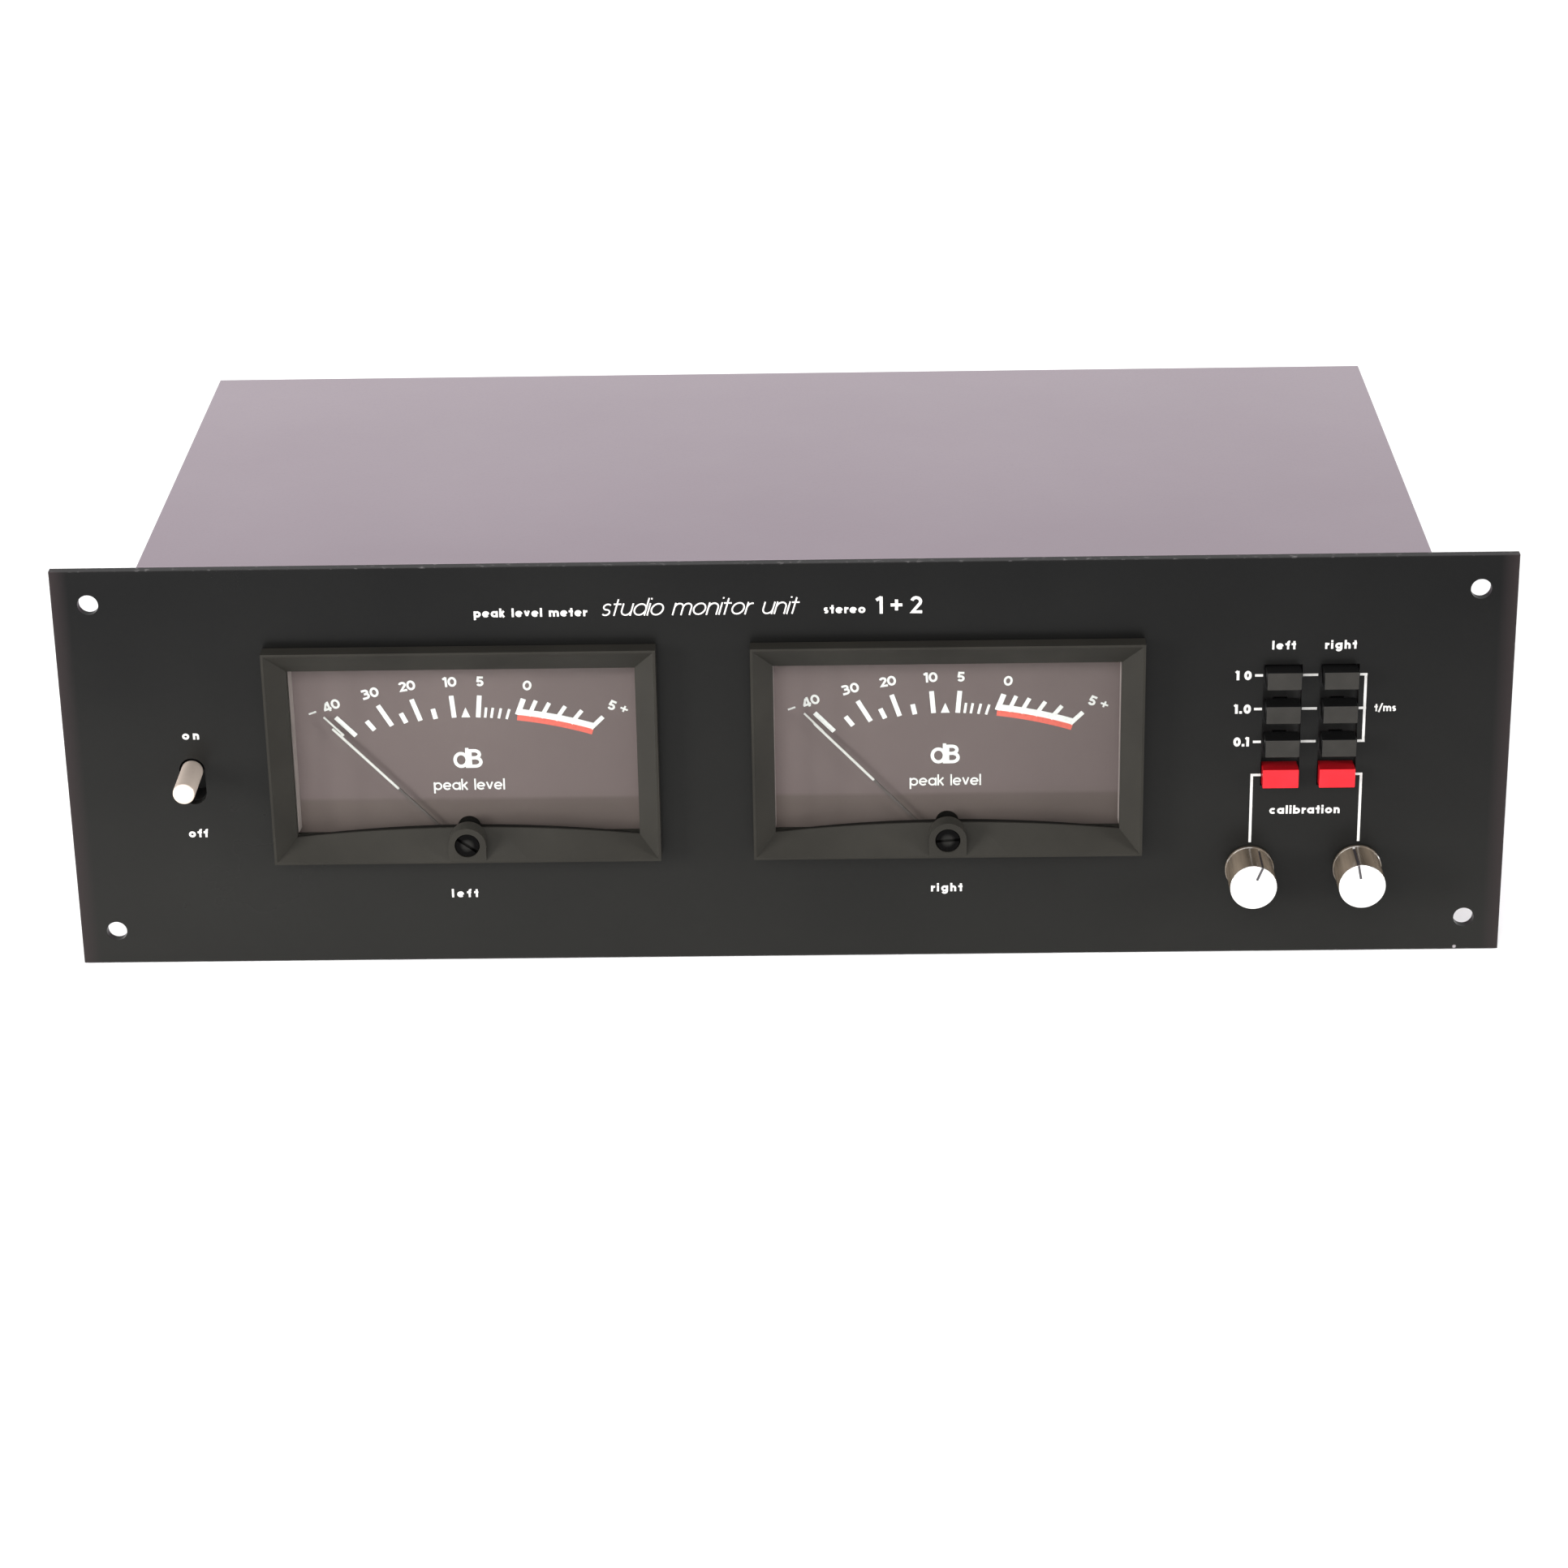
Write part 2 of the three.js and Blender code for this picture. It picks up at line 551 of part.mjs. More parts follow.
function buttonBank(x) {
  const { halfWidth, low, high, front, back, earHeight, earSheet } = BANK;
  const ears = block(-halfWidth, halfWidth, front, front + earSheet, low - earHeight, high + earHeight);
  const body = joined(block(-halfWidth, halfWidth, front, back, low, high), ears);
  const guides = Object.values(BUTTON_Z).map((z) => {
    const w = STEM.width / 2 + GAP;
    const h = STEM.height / 2 + GAP;
    return block(-w, w, front - OVERRUN, back + OVERRUN, z - h, z + h);
  });
  return cut(body, ...guides).translate([x, 0, 0]);
}

function buttons(side) {
  const group = new THREE.Group();
  group.add(node(`${side}_button_bank`, buttonBank(BUTTON_X[side]), MATERIAL.blackPlastic));
  for (const [name, z] of Object.entries(BUTTON_Z)) {
    // The calibration button is latched in, and the other three stand out.
    const latched = name === "calibrate";
    const cap = latched ? RED_BUTTON : BUTTON;
    const material = latched ? MATERIAL.redPlastic : MATERIAL.blackPlastic;
    const key = node(`${side}_${name}_button`, button(cap), material);
    key.position.set(BUTTON_X[side], cap.front + (latched ? BUTTON_TRAVEL : 0), z);
    group.add(key);
  }
  return group;
}

// ---------------------------------------------------------------- calibration controls

function potBody() {
  const body = joined(
    rodY(POT.radius, POT.front, POT.back, 0, 0, 28),
    rodY(POT.bushRadius, POT.bushFront, POT.front + 1, 0, 0, 24),
    rodY(POT_NUT.radius, POT_NUT.front, POT_NUT.back, 0, 0, 6),
  );
  const bore = rodY(
    SHAFT.radius + POT_PLAY.shaft, POT.bushFront - OVERRUN, POT.back + OVERRUN, 0, 0, 32,
  );
  return cut(body, bore);
}

function knobBody() {
  const body = joined(
    rodY(KNOB.radius, KNOB.front + KNOB_CAP.thickness, KNOB.back, 0, 0, 48),
    rodY(KNOB.skirt, KNOB.back - KNOB.skirtHeight, KNOB.back, 0, 0, 48),
  );
  const groove = block(
    -KNOB_GROOVE.width / 2, KNOB_GROOVE.width / 2, KNOB.front - OVERRUN, KNOB.back - KNOB.skirtHeight,
    KNOB.radius - KNOB_GROOVE.depth, KNOB.radius + OVERRUN,
  );
  return cut(
    body,
    groove,
    rodY(KNOB_HOLLOW.radius, KNOB_HOLLOW.front, KNOB.back + OVERRUN, 0, 0, 32),
    rodY(SHAFT.radius + GAP, SHAFT.front - GAP, KNOB.back + OVERRUN, 0, 0, 32),
  );
}

function knobCap() {
  const back = KNOB.front + KNOB_CAP.thickness - GAP;
  const line = block(
    -KNOB_CAP.lineWidth / 2, KNOB_CAP.lineWidth / 2,
    KNOB.front - OVERRUN, KNOB.front + KNOB_CAP.lineDepth, KNOB_CAP.lineStart, KNOB.radius + OVERRUN,
  );
  return cut(rodY(KNOB.radius, KNOB.front, back, 0, 0, 48), line);
}

function calibrationControl(side) {
  const group = new THREE.Group();
  group.position.set(POT_X[side], 0, POT.z);
  const named = (piece) => `${side}_calibration_${piece}`;
  const turning = new THREE.Group();
  turning.rotation.y = degrees(KNOB_REST_DEG[side]);
  turning.add(node(named("knob"), knobBody(), MATERIAL.knob));
  turning.add(node(named("knob_cap"), knobCap(), MATERIAL.aluminium));
  turning.add(node(named("shaft"), rodY(SHAFT.radius, SHAFT.front, SHAFT.back, 0, 0, 32), MATERIAL.steel));
  group.add(node(named("pot"), potBody(), MATERIAL.steel), turning);
  return group;
}

// ---------------------------------------------------------------- electronics inside

function circuitBoard() {
  return block(BOARD.x0, BOARD.x1, BOARD.y0, BOARD.y1, BOARD.z, BOARD.z + BOARD.thickness);
}

const BOARD_TOP = BOARD.z + BOARD.thickness + GAP;

function transformerCore() {
  const { width, depth, height, leg, yoke } = TRANSFORMER;
  const windowWidth = (width - leg) / 2 - yoke;
  const holes = [-1, 1].map((side) => {
    const near = (side * leg) / 2;
    const far = near + side * windowWidth;
    return block(Math.min(near, far), Math.max(near, far), -depth, depth, yoke, height - yoke);
  });
  const feet = block(-width / 2 - 8, width / 2 + 8, -depth / 2, depth / 2, 0, 2);
  return cut(joined(block(-width / 2, width / 2, -depth / 2, depth / 2, 0, height), feet), ...holes);
}

// The winding fills both windows and bulges out in front of the core and behind it.
function transformerWinding() {
  const { depth, height, leg, yoke, width, coilReach } = TRANSFORMER;
  const outer = width / 2 - yoke - GAP;
  const reach = depth / 2 + coilReach;
  const low = yoke + GAP;
  const high = height - yoke - GAP;
  const inner = leg / 2 + GAP;
  return cut(
    block(-outer, outer, -reach, reach, low, high),
    block(-inner, inner, -depth / 2 - GAP, depth / 2 + GAP, low - OVERRUN, high + OVERRUN),
  );
}

function electronics() {
  const group = new THREE.Group();
  group.add(node("circuit_board", circuitBoard(), MATERIAL.board));
  for (const [name, x] of Object.entries(CAPACITOR.x)) {
    const can = rodZ(CAPACITOR.radius, BOARD_TOP, BOARD_TOP + CAPACITOR.height, x, CAPACITOR.y, 28);
    group.add(node(`${name}_filter_capacitor`, can, MATERIAL.steel));
  }
  for (const [side, x] of Object.entries(CHIP.x)) {
    const chip = block(
      x - CHIP.width / 2, x + CHIP.width / 2,
      CHIP.y - CHIP.depth / 2, CHIP.y + CHIP.depth / 2, BOARD_TOP, BOARD_TOP + CHIP.height,
    );
    group.add(node(`${side}_amplifier_chip`, chip, MATERIAL.blackPlastic));
  }
  const transformer = new THREE.Group();
  transformer.position.set(TRANSFORMER.x, TRANSFORMER.y, CHASSIS.sheet + GAP);
  transformer.add(node("transformer_core", transformerCore(), MATERIAL.steel));
  transformer.add(node("transformer_winding", transformerWinding(), MATERIAL.copper));
  group.add(transformer);
  return group;
}

// ---------------------------------------------------------------- rear connectors

const REAR = CHASSIS.back + GAP; // where a flange meets the rear panel

function mainsInlet() {
  const cup = { w: INLET.cupWidth / 2, h: INLET.cupHeight / 2 };
  const { flange, behind, wall, pin } = INLET_DEPTH;
  const body = joined(
    block(-cup.w - wall, cup.w + wall, CHASSIS.back - behind, REAR + 1, -cup.h - wall, cup.h + wall),
    block(
      -INLET.flangeWidth / 2, INLET.flangeWidth / 2, REAR, REAR + flange,
      -INLET.flangeHeight / 2 - 1.5, INLET.flangeHeight / 2 + 1.5,
    ),
  );
  const hollow = block(-cup.w, cup.w, CHASSIS.back - behind + 3, REAR + flange + OVERRUN, -cup.h, cup.h);
  const floor = CHASSIS.back - behind + 2.5;
  const pins = [[-7, -2], [0, 3], [7, -2]].map(([x, z]) =>
    block(x - 1, x + 1, floor, floor + pin, z - 2, z + 2),
  );
  return joined(cut(body, hollow), ...pins).translate([INLET.x, 0, INLET.z]);
}

function fuseHolder() {
  const { inside, flange } = FUSE_DEPTH;
  const body = joined(
    rodY(FUSE.bodyRadius, CHASSIS.back - inside, REAR + 1, 0, 0, 28),
    rodY(FUSE.flangeRadius, REAR, REAR + flange, 0, 0, 28),
  );
  const bore = rodY(FUSE.bore, CHASSIS.back - inside + 2, REAR + flange + OVERRUN, 0, 0, 28);
  return cut(body, bore).translate([FUSE.x, 0, FUSE.z]);
}

function fuseCap() {
  const grip = REAR + FUSE_DEPTH.flange + GAP;
  const body = joined(
    rodY(FUSE.capRadius, REAR - FUSE_DEPTH.capInside, grip + 1),
    rodY(FUSE.gripRadius, grip, FUSE_DEPTH.end, 0, 0, 24),
  );
  const across = FUSE.gripRadius + OVERRUN;
  const { depth, halfWidth } = FUSE_SLOT;
  const slot = block(
    -across, across, FUSE_DEPTH.end - depth, FUSE_DEPTH.end + OVERRUN, -halfWidth, halfWidth,
  );
  return cut(body, slot).translate([FUSE.x, 0, FUSE.z]);
}

function inputSocket(x) {
  const { nut, thread, inside } = JACK_DEPTH;
  const half = JACK.bodyHalf;
  const inner = CHASSIS.back - REAR_PANEL.thickness - GAP;
  const body = joined(
    block(-half, half, CHASSIS.back - inside, inner, -half, half),
    rodY(JACK.boreRadius + JACK.wall, inner - 1, REAR + thread, 0, 0, 24),
    rodY(JACK.nutRadius, REAR, REAR + nut, 0, 0, 6),
  );
  const bore = rodY(JACK.boreRadius, CHASSIS.back - inside + 3, REAR + thread + OVERRUN, 0, 0, 24);
  return cut(body, bore).translate([x, 0, JACK.z]);
}

// ---------------------------------------------------------------- the whole unit

function unit() {
  const group = new THREE.Group();
  group.position.y = -(FRONT_MOST + REAR_MOST) / 2;

  group.add(node("front_panel", frontPanel(), MATERIAL.panel));
  group.add(node("chassis_tray", chassisTray(), MATERIAL.zinc));
  group.add(node("top_cover", topCover(), MATERIAL.chassis));
  group.add(node("rear_panel", rearPanel(), MATERIAL.chassis));
  for (const [name, side] of [["left", -1], ["right", 1]]) {
    group.add(node(`${name}_panel_bracket`, panelBracket(side), MATERIAL.zinc));
    for (const [place, y] of Object.entries(COVER_SCREW_Y)) {
      group.add(node(`${name}_${place}_cover_screw`, coverScrew(side, y), MATERIAL.steel));
    }
  }
  group.add(powerSwitch());
  for (const side of ["left", "right"]) {
    group.add(meter(side));
    group.add(buttons(side));
    group.add(calibrationControl(side));
    group.add(node(`${side}_input_socket`, inputSocket(JACK.x[side]), MATERIAL.steel));
  }
  group.add(electronics());
  group.add(node("mains_inlet", mainsInlet(), MATERIAL.blackPlastic));
  group.add(node("fuse_holder", fuseHolder(), MATERIAL.blackPlastic));
  group.add(node("fuse_cap", fuseCap(), MATERIAL.blackPlastic));
  return group;
}

export default unit();
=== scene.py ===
"""Looks of the rack-mounted stereo peak level meter, built round its CAD frame.

Positions in the design helpers are millimetres from the middle of the front panel's lower edge:
x to the right, y back from the panel's front face, z up. `at` turns them into the row frame's metres.
"""

import math

import bpy
from mathutils import Matrix, Vector


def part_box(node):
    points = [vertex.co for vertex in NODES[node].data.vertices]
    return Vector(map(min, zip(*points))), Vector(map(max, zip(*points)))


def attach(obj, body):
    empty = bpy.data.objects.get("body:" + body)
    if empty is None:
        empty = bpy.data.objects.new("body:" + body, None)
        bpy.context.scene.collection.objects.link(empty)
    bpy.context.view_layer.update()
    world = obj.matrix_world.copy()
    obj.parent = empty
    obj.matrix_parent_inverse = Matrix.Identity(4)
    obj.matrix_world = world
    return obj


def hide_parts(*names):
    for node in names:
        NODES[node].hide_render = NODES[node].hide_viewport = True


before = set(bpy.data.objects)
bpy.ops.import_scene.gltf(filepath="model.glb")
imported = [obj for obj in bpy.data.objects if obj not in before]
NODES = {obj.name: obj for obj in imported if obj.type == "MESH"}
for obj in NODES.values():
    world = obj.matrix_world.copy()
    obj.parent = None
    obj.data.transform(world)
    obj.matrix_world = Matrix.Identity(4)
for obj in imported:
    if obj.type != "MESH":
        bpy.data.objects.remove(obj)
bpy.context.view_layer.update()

MM = 0.001
SIDES = ("left", "right")
PANEL_LOW, PANEL_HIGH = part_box("front_panel")
FRONT = PANEL_LOW.y
HALF_WIDTH = PANEL_HIGH.x / MM
HEIGHT = PANEL_HIGH.z / MM


def at(x, y, z):
    return Vector((x * MM, FRONT + y * MM, z * MM))


def middle(node):
    """The middle of a CAD node's box, in design millimetres."""
    low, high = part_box(node)
    centre = (low + high) / 2
    return centre.x / MM, (centre.y - FRONT) / MM, centre.z / MM


METER_X = {side: middle(f"{side}_meter_dial")[0] for side in SIDES}


# ---------------------------------------------------------------- materials


class Shader:
    """A material's node tree, with short ways to add the nodes that the finishes share."""

    def __init__(self, name):
        self.material = bpy.data.materials.new(name)
        self.material.use_nodes = True
        self.tree = self.material.node_tree
        self.tree.nodes.clear()
        self.output = self.add("ShaderNodeOutputMaterial")
        self.principled = self.add("ShaderNodeBsdfPrincipled")
        self.link(self.principled.outputs[0], self.output.inputs[0])
        self.place = self.add("ShaderNodeTexCoord").outputs["Object"]

    def add(self, kind, **settings):
        node = self.tree.nodes.new(kind)
        for key, value in settings.items():
            setattr(node, key, value)
        return node

    def link(self, source, target):
        self.tree.links.new(source, target)

    def set(self, **values):
        for name, value in values.items():
            self.principled.inputs[name.replace("_", " ")].default_value = value

    def noise(self, per_metre, detail, stretch=(1, 1, 1)):
        mapping = self.add("ShaderNodeMapping")
        mapping.inputs["Scale"].default_value = stretch
        self.link(self.place, mapping.inputs["Vector"])
        noise = self.add("ShaderNodeTexNoise")
        noise.inputs["Scale"].default_value = per_metre
        noise.inputs["Detail"].default_value = detail
        self.link(mapping.outputs[0], noise.inputs["Vector"])
        return noise.outputs["Fac"]

    def ranged(self, value, low, high, from_low=0.3, from_high=0.7):
        node = self.add("ShaderNodeMapRange")
        self.link(value, node.inputs["Value"])
        for name, number in (
            ("From Min", from_low),
            ("From Max", from_high),
            ("To Min", low),
            ("To Max", high),
        ):
            node.inputs[name].default_value = number
        return node.outputs[0]

    def math(self, operation, first, second=0.0):
        node = self.add("ShaderNodeMath", operation=operation)
        for socket, value in zip(node.inputs, (first, second)):
            if isinstance(value, (int, float)):
                socket.default_value = value
            else:
                self.link(value, socket)
        return node.outputs[0]

    def mixed(self, share, first, second):
        """Colour first where share is 0, and second where it is 1."""
        node = self.add("ShaderNodeMix", data_type="RGBA")
        self.link(share, node.inputs["Factor"])
        for name, value in (("A", first), ("B", second)):
            socket = next(s for s in node.inputs if s.name == name and s.type == "RGBA")
            if isinstance(value, tuple):
                socket.default_value = (*value, 1)
            else:
                self.link(value, socket)
        return next(s for s in node.outputs if s.type == "RGBA")

    def drift(self, per_metre, detail, reach):
        """A slow wander about zero."""
        return self.math("MULTIPLY", self.math("SUBTRACT", self.noise(per_metre, detail), 0.5), reach)

    def length(self, first, second):
        squares = self.math("MULTIPLY", first, first), self.math("MULTIPLY", second, second)
        return self.math("SQRT", self.math("ADD", *squares))

    def distance(self, x, z, centre_x, centre_z):
        """How far x and z lie from a centre given in millimetres."""
        dx = self.math("SUBTRACT", x, centre_x * MM)
        dz = self.math("SUBTRACT", z, centre_z * MM)
        return self.length(dx, dz)

    def spot(self, x, z, centre_x, centre_z, radius):
        """1 on a small ragged spot, sizes in millimetres, and 0 elsewhere."""
        distance = self.distance(x, z, centre_x, centre_z)
        ragged = self.math("ADD", distance, self.math("MULTIPLY", self.noise(900, 3), radius * MM))
        return self.ranged(ragged, 1, 0, radius * MM, 1.4 * radius * MM)

    def axes(self):
        node = self.add("ShaderNodeSeparateXYZ")
        self.link(self.place, node.inputs[0])
        return node.outputs

    def facing(self):
        """The direction that the surface faces, in the object's own axes."""
        node = self.add("ShaderNodeSeparateXYZ")
        self.link(self.add("ShaderNodeTexCoord").outputs["Normal"], node.inputs[0])
        return node.outputs

    def bump(self, height, distance):
        node = self.add("ShaderNodeBump")
        node.inputs["Distance"].default_value = distance
        self.link(height, node.inputs["Height"])
        self.link(node.outputs[0], self.principled.inputs["Normal"])

    def colour(self, socket):
        self.link(socket, self.principled.inputs["Base Color"])

    def roughness(self, socket):
        self.link(socket, self.principled.inputs["Roughness"])


GLOSS_FINER = 2.3  # gloss varies in patches this many times smaller than the colour's


def varied(name, dark, light, rough, *, patch=25, grain=900, relief=0.00002, stretch=(1, 1, 1), **fixed):
    """A finish whose colour and roughness drift in patches, with a fine grain in relief."""
    shader = Shader(name)
    patches = shader.noise(patch, 4, stretch)
    shader.colour(shader.mixed(shader.ranged(patches, 0, 1), dark, light))
    shader.roughness(shader.ranged(shader.noise(patch * GLOSS_FINER, 5), *rough))
    shader.bump(shader.noise(grain, 2, stretch), relief)
    shader.set(**fixed)
    return shader


PANEL_CHIP = (229.8, 0.8, 0.9)  # x, z and radius of a chip in the paint, low on the right


def panel_paint():
    """Satin black, lighter low down as painted light, a little brown from handling at the ends, and worn to
    the metal in specks at the edges.
    """
    shader = Shader("satin_black_paint")
    x, _, z = shader.axes()
    # Painted light: the black is lighter towards the foot and darker towards the top.
    height = shader.ranged(z, 0, 1, 0.0, HEIGHT * MM)
    share = shader.math("ADD", height, shader.drift(7, 5, 0.9))
    painted_light_and_handling = shader.mixed(share, (0.0088, 0.0086, 0.0078), (0.0015, 0.0015, 0.0015))
    from_side = shader.math("SUBTRACT", HALF_WIDTH * MM, shader.math("ABSOLUTE", x))
    middle_z = HEIGHT * MM / 2
    from_end = shader.math(
        "SUBTRACT", middle_z, shader.math("ABSOLUTE", shader.math("SUBTRACT", z, middle_z))
    )
    edge = shader.math("MINIMUM", from_side, from_end)
    handled = shader.ranged(from_side, 0.6, 0, 0.0, 6 * MM)
    painted_light_and_handling = shader.mixed(handled, painted_light_and_handling, (0.02, 0.014, 0.0145))
    near = shader.ranged(edge, 1, 0, 0.0, 0.4 * MM)
    specks = shader.ranged(shader.noise(420, 6), 0.05, 0.6, 0.6, 0.76)
    worn = shader.math("MAXIMUM", shader.math("MULTIPLY", near, specks), shader.spot(x, z, *PANEL_CHIP))
    shader.colour(shader.mixed(worn, painted_light_and_handling, (0.2, 0.185, 0.19)))
    shader.roughness(shader.ranged(shader.noise(16, 6), 0.27, 0.35))
    shader.bump(shader.noise(1400, 2), 0.00001)
    shader.set(Specular_IOR_Level=0.12)
    return shader.material


def cover_paint():
    """Warm grey stoving paint, darker towards the front as painted light, with a fine orange peel and a few
    rubbed places.
    """
    shader = Shader("warm_grey_paint")
    _, y, _ = shader.axes()
    # Painted light: darker towards the front and lighter towards the back.
    length = shader.ranged(y, 0, 1, FRONT, -FRONT)
    share = shader.math("ADD", length, shader.drift(9, 5, 0.5))
    body = shader.mixed(share, (0.205, 0.167, 0.193), (0.272, 0.229, 0.258))
    speck = shader.ranged(shader.noise(1100, 3), 0, 0.12, 0.5, 0.75)
    shader.colour(shader.mixed(speck, body, (0.14, 0.115, 0.135)))
    shader.roughness(shader.ranged(shader.noise(20, 6), 0.46, 0.56))
    shader.bump(shader.noise(700, 3), 0.00002)
    return shader.material


def moulding(name, dark, light, rough, shine=0.5):
    """Moulded plastic, with a fine even grain."""
    texture = {"patch": 40, "grain": 1800, "relief": 0.000015}
    return varied(name, dark, light, rough, Specular_IOR_Level=shine, **texture).material


def cap_with_painted_shade(name, side, front, shine):
    """A key cap's moulding, whose top and sides are darker than its front as painted shade, and whose front
    is rubbed lighter in patches.
    """
    shader = Shader(name)
    wear_and_highlight = tuple(1.35 * c for c in front)
    front = shader.mixed(shader.ranged(shader.noise(160, 5), 0, 1), front, wear_and_highlight)
    # Painted shade: faces that don't look forward take the darker side colour.
    lit_front_mask = shader.ranged(shader.facing()["Y"], 1, 0, -0.95, -0.5)
    shader.colour(shader.mixed(lit_front_mask, side, front))
    shader.roughness(shader.ranged(shader.noise(220, 4), 0.36, 0.5))
    shader.bump(shader.noise(1800, 2), 0.00002)
    shader.set(Specular_IOR_Level=shine)
    return shader.material


DIAL_PAINTED_LIGHT = (-58, -37)  # where painted light lightens the dial, from the dial's middle
DIAL_SHADE_BAND = (56.6, 58.0)  # height of the soft upper edge of the painted shade along the foot


def dial_paint(centre_x):
    """Matt grey-brown, partly a painted reflection of the glass, lighter towards the left as painted light,
    and darker in a band along the foot as painted shade.
    """
    shader = Shader("dial_paint")
    x, _, z = shader.axes()
    patches = shader.ranged(shader.noise(18, 4), 0, 1)
    # The grey-brown is partly the dial's own colour and partly a painted reflection of the glass.
    body = shader.mixed(patches, (0.083, 0.0635, 0.062), (0.091, 0.07, 0.068))
    across = shader.math("SUBTRACT", x, centre_x * MM)
    # Painted light: the dial is lighter towards its left edge.
    painted_light_left = shader.ranged(across, 1, 0, *(edge * MM for edge in DIAL_PAINTED_LIGHT))
    body = shader.mixed(painted_light_left, body, (0.139, 0.107, 0.105))
    height = shader.math("ADD", z, shader.drift(14, 3, 1.2 * MM))
    # Painted shade: darker in a band along the foot.
    foot = shader.ranged(height, 1, 0, *(edge * MM for edge in DIAL_SHADE_BAND))
    painted_foot_shade = shader.mixed(painted_light_left, (0.068, 0.0525, 0.048), (0.109, 0.084, 0.077))
    shader.colour(shader.mixed(foot, body, painted_foot_shade))
    shader.roughness(shader.ranged(shader.noise(60, 4), 0.6, 0.72))
    shader.set(Specular_IOR_Level=0.15)
    return shader.material


def clear_glass():
    """Flat glass, whose outer face mirrors at a slant. Its edges sit in the frame."""
    shader = Shader("window_glass")
    clear = shader.add("ShaderNodeBsdfTransparent")
    clear.inputs[0].default_value = (0.93, 0.94, 0.935, 1)
    shader.set(Base_Color=(0.9, 0.9, 0.9, 1), Metallic=1.0)
    shader.roughness(shader.ranged(shader.noise(30, 5), 0.01, 0.03))
    slant = shader.add("ShaderNodeLayerWeight").outputs["Facing"]
    mirrored = shader.ranged(shader.math("POWER", slant, 2), 0, 0.6, 0.0225, 0.8)
    outer = shader.math("LESS_THAN", shader.facing()["Y"], -0.5)
    mix = shader.add("ShaderNodeMixShader")
    shader.link(shader.math("MULTIPLY", mirrored, outer), mix.inputs[0])
    shader.link(clear.outputs[0], mix.inputs[1])
    shader.link(shader.principled.outputs[0], mix.inputs[2])
    shader.link(mix.outputs[0], shader.output.inputs[0])
    return shader.material


def ink(name, thin, full):
    """Screen-printed ink, which covers a little unevenly."""
    shader = Shader(name)
    shader.colour(shader.mixed(shader.ranged(shader.noise(900, 3), 0, 1, 0.3, 0.5), thin, full))
    shader.roughness(shader.ranged(shader.noise(300, 3), 0.45, 0.6))
    shader.bump(shader.noise(2200, 2), 0.00001)
    return shader.material


def turned_metal(name, tint, rings_per_metre):
    """Metal turned on a lathe, with rings about its own Y axis. Its object's origin is on that axis."""
    shader = Shader(name)
    x, _, z = shader.axes()
    radius = shader.length(x, z)
    rings = shader.math("SINE", shader.math("MULTIPLY", radius, rings_per_metre * 2 * math.pi))
    shade = shader.ranged(shader.noise(120, 4), 0, 1)
    shader.colour(shader.mixed(shade, tuple(0.88 * c for c in tint), tint))
    shader.roughness(shader.ranged(shader.noise(500, 3), 0.24, 0.36))
    shader.bump(rings, 0.000006)
    shader.set(Metallic=1.0)
    return shader.material


def brushed(name, tint, stretch, rough=(0.3, 0.45), metallic=1.0):
    """Worked metal, whose grain can be stretched into fine lines."""
    shader = varied(
        name,
        tuple(0.8 * c for c in tint),
        tint,
        rough,
        patch=90,
        grain=1500,
        relief=0.00001,
        stretch=stretch,
        Metallic=metallic,
    )
    return shader.material


def zinc_sheet():
    """Zinc-plated sheet, with the soft crystal patches of the plating."""
    shader = Shader("zinc_sheet")
    cells = shader.add("ShaderNodeTexVoronoi")
    cells.inputs["Scale"].default_value = 120
    shader.link(shader.place, cells.inputs["Vector"])
    patch = shader.ranged(cells.outputs["Distance"], 0, 1, 0.1, 0.7)
    shader.colour(shader.mixed(patch, (0.5, 0.51, 0.52), (0.62, 0.63, 0.65)))
    shader.roughness(shader.ranged(shader.noise(60, 4), 0.35, 0.5))
    shader.bump(shader.noise(800, 2), 0.00001)
    shader.set(Metallic=0.9)
    return shader.material


def knob_gloss():
    """Polished brown-black plastic, with painted sheen in streaks along its length, and faint turning marks
    round the side.
    """
    shader = Shader("knob_gloss")
    # Painted sheen: lighter streaks along the knob's length.
    painted_sheen_streaks = shader.ranged(shader.noise(170, 4, (1, 0.08, 1)), 0, 1)
    shader.colour(shader.mixed(painted_sheen_streaks, (0.036, 0.028, 0.02), (0.135, 0.107, 0.08)))
    shader.roughness(shader.ranged(shader.noise(260, 4), 0.12, 0.22))
    shader.bump(shader.noise(700, 2, (1, 9, 1)), 0.00001)
    shader.set(Coat_Weight=0.6, Coat_Roughness=0.08)
    return shader.material


def circuit_green():
    """Solder resist over a grid of copper tracks."""
    shader = Shader("circuit_green")
    tracks = shader.add("ShaderNodeTexBrick")
    tracks.inputs["Scale"].default_value = 60
    tracks.inputs["Mortar Size"].default_value = 0.06
    shader.link(shader.place, tracks.inputs["Vector"])
    patches = shader.ranged(shader.noise(40, 3), 0, 1)
    board = shader.mixed(patches, (0.012, 0.09, 0.035), (0.02, 0.13, 0.05))
    shader.colour(shader.mixed(tracks.outputs["Fac"], board, (0.06, 0.24, 0.1)))
    shader.roughness(shader.ranged(shader.noise(90, 3), 0.3, 0.45))
    shader.bump(tracks.outputs["Fac"], 0.00004)
    return shader.material


PIVOT_Z = 37  # height of the pointers' pivots
POINTER_WHITE_FROM = {"left": 34.2, "right": 36.0}  # from the pivot; painted by hand, so they differ
POINTER_PAINT_EDGE = 0.4


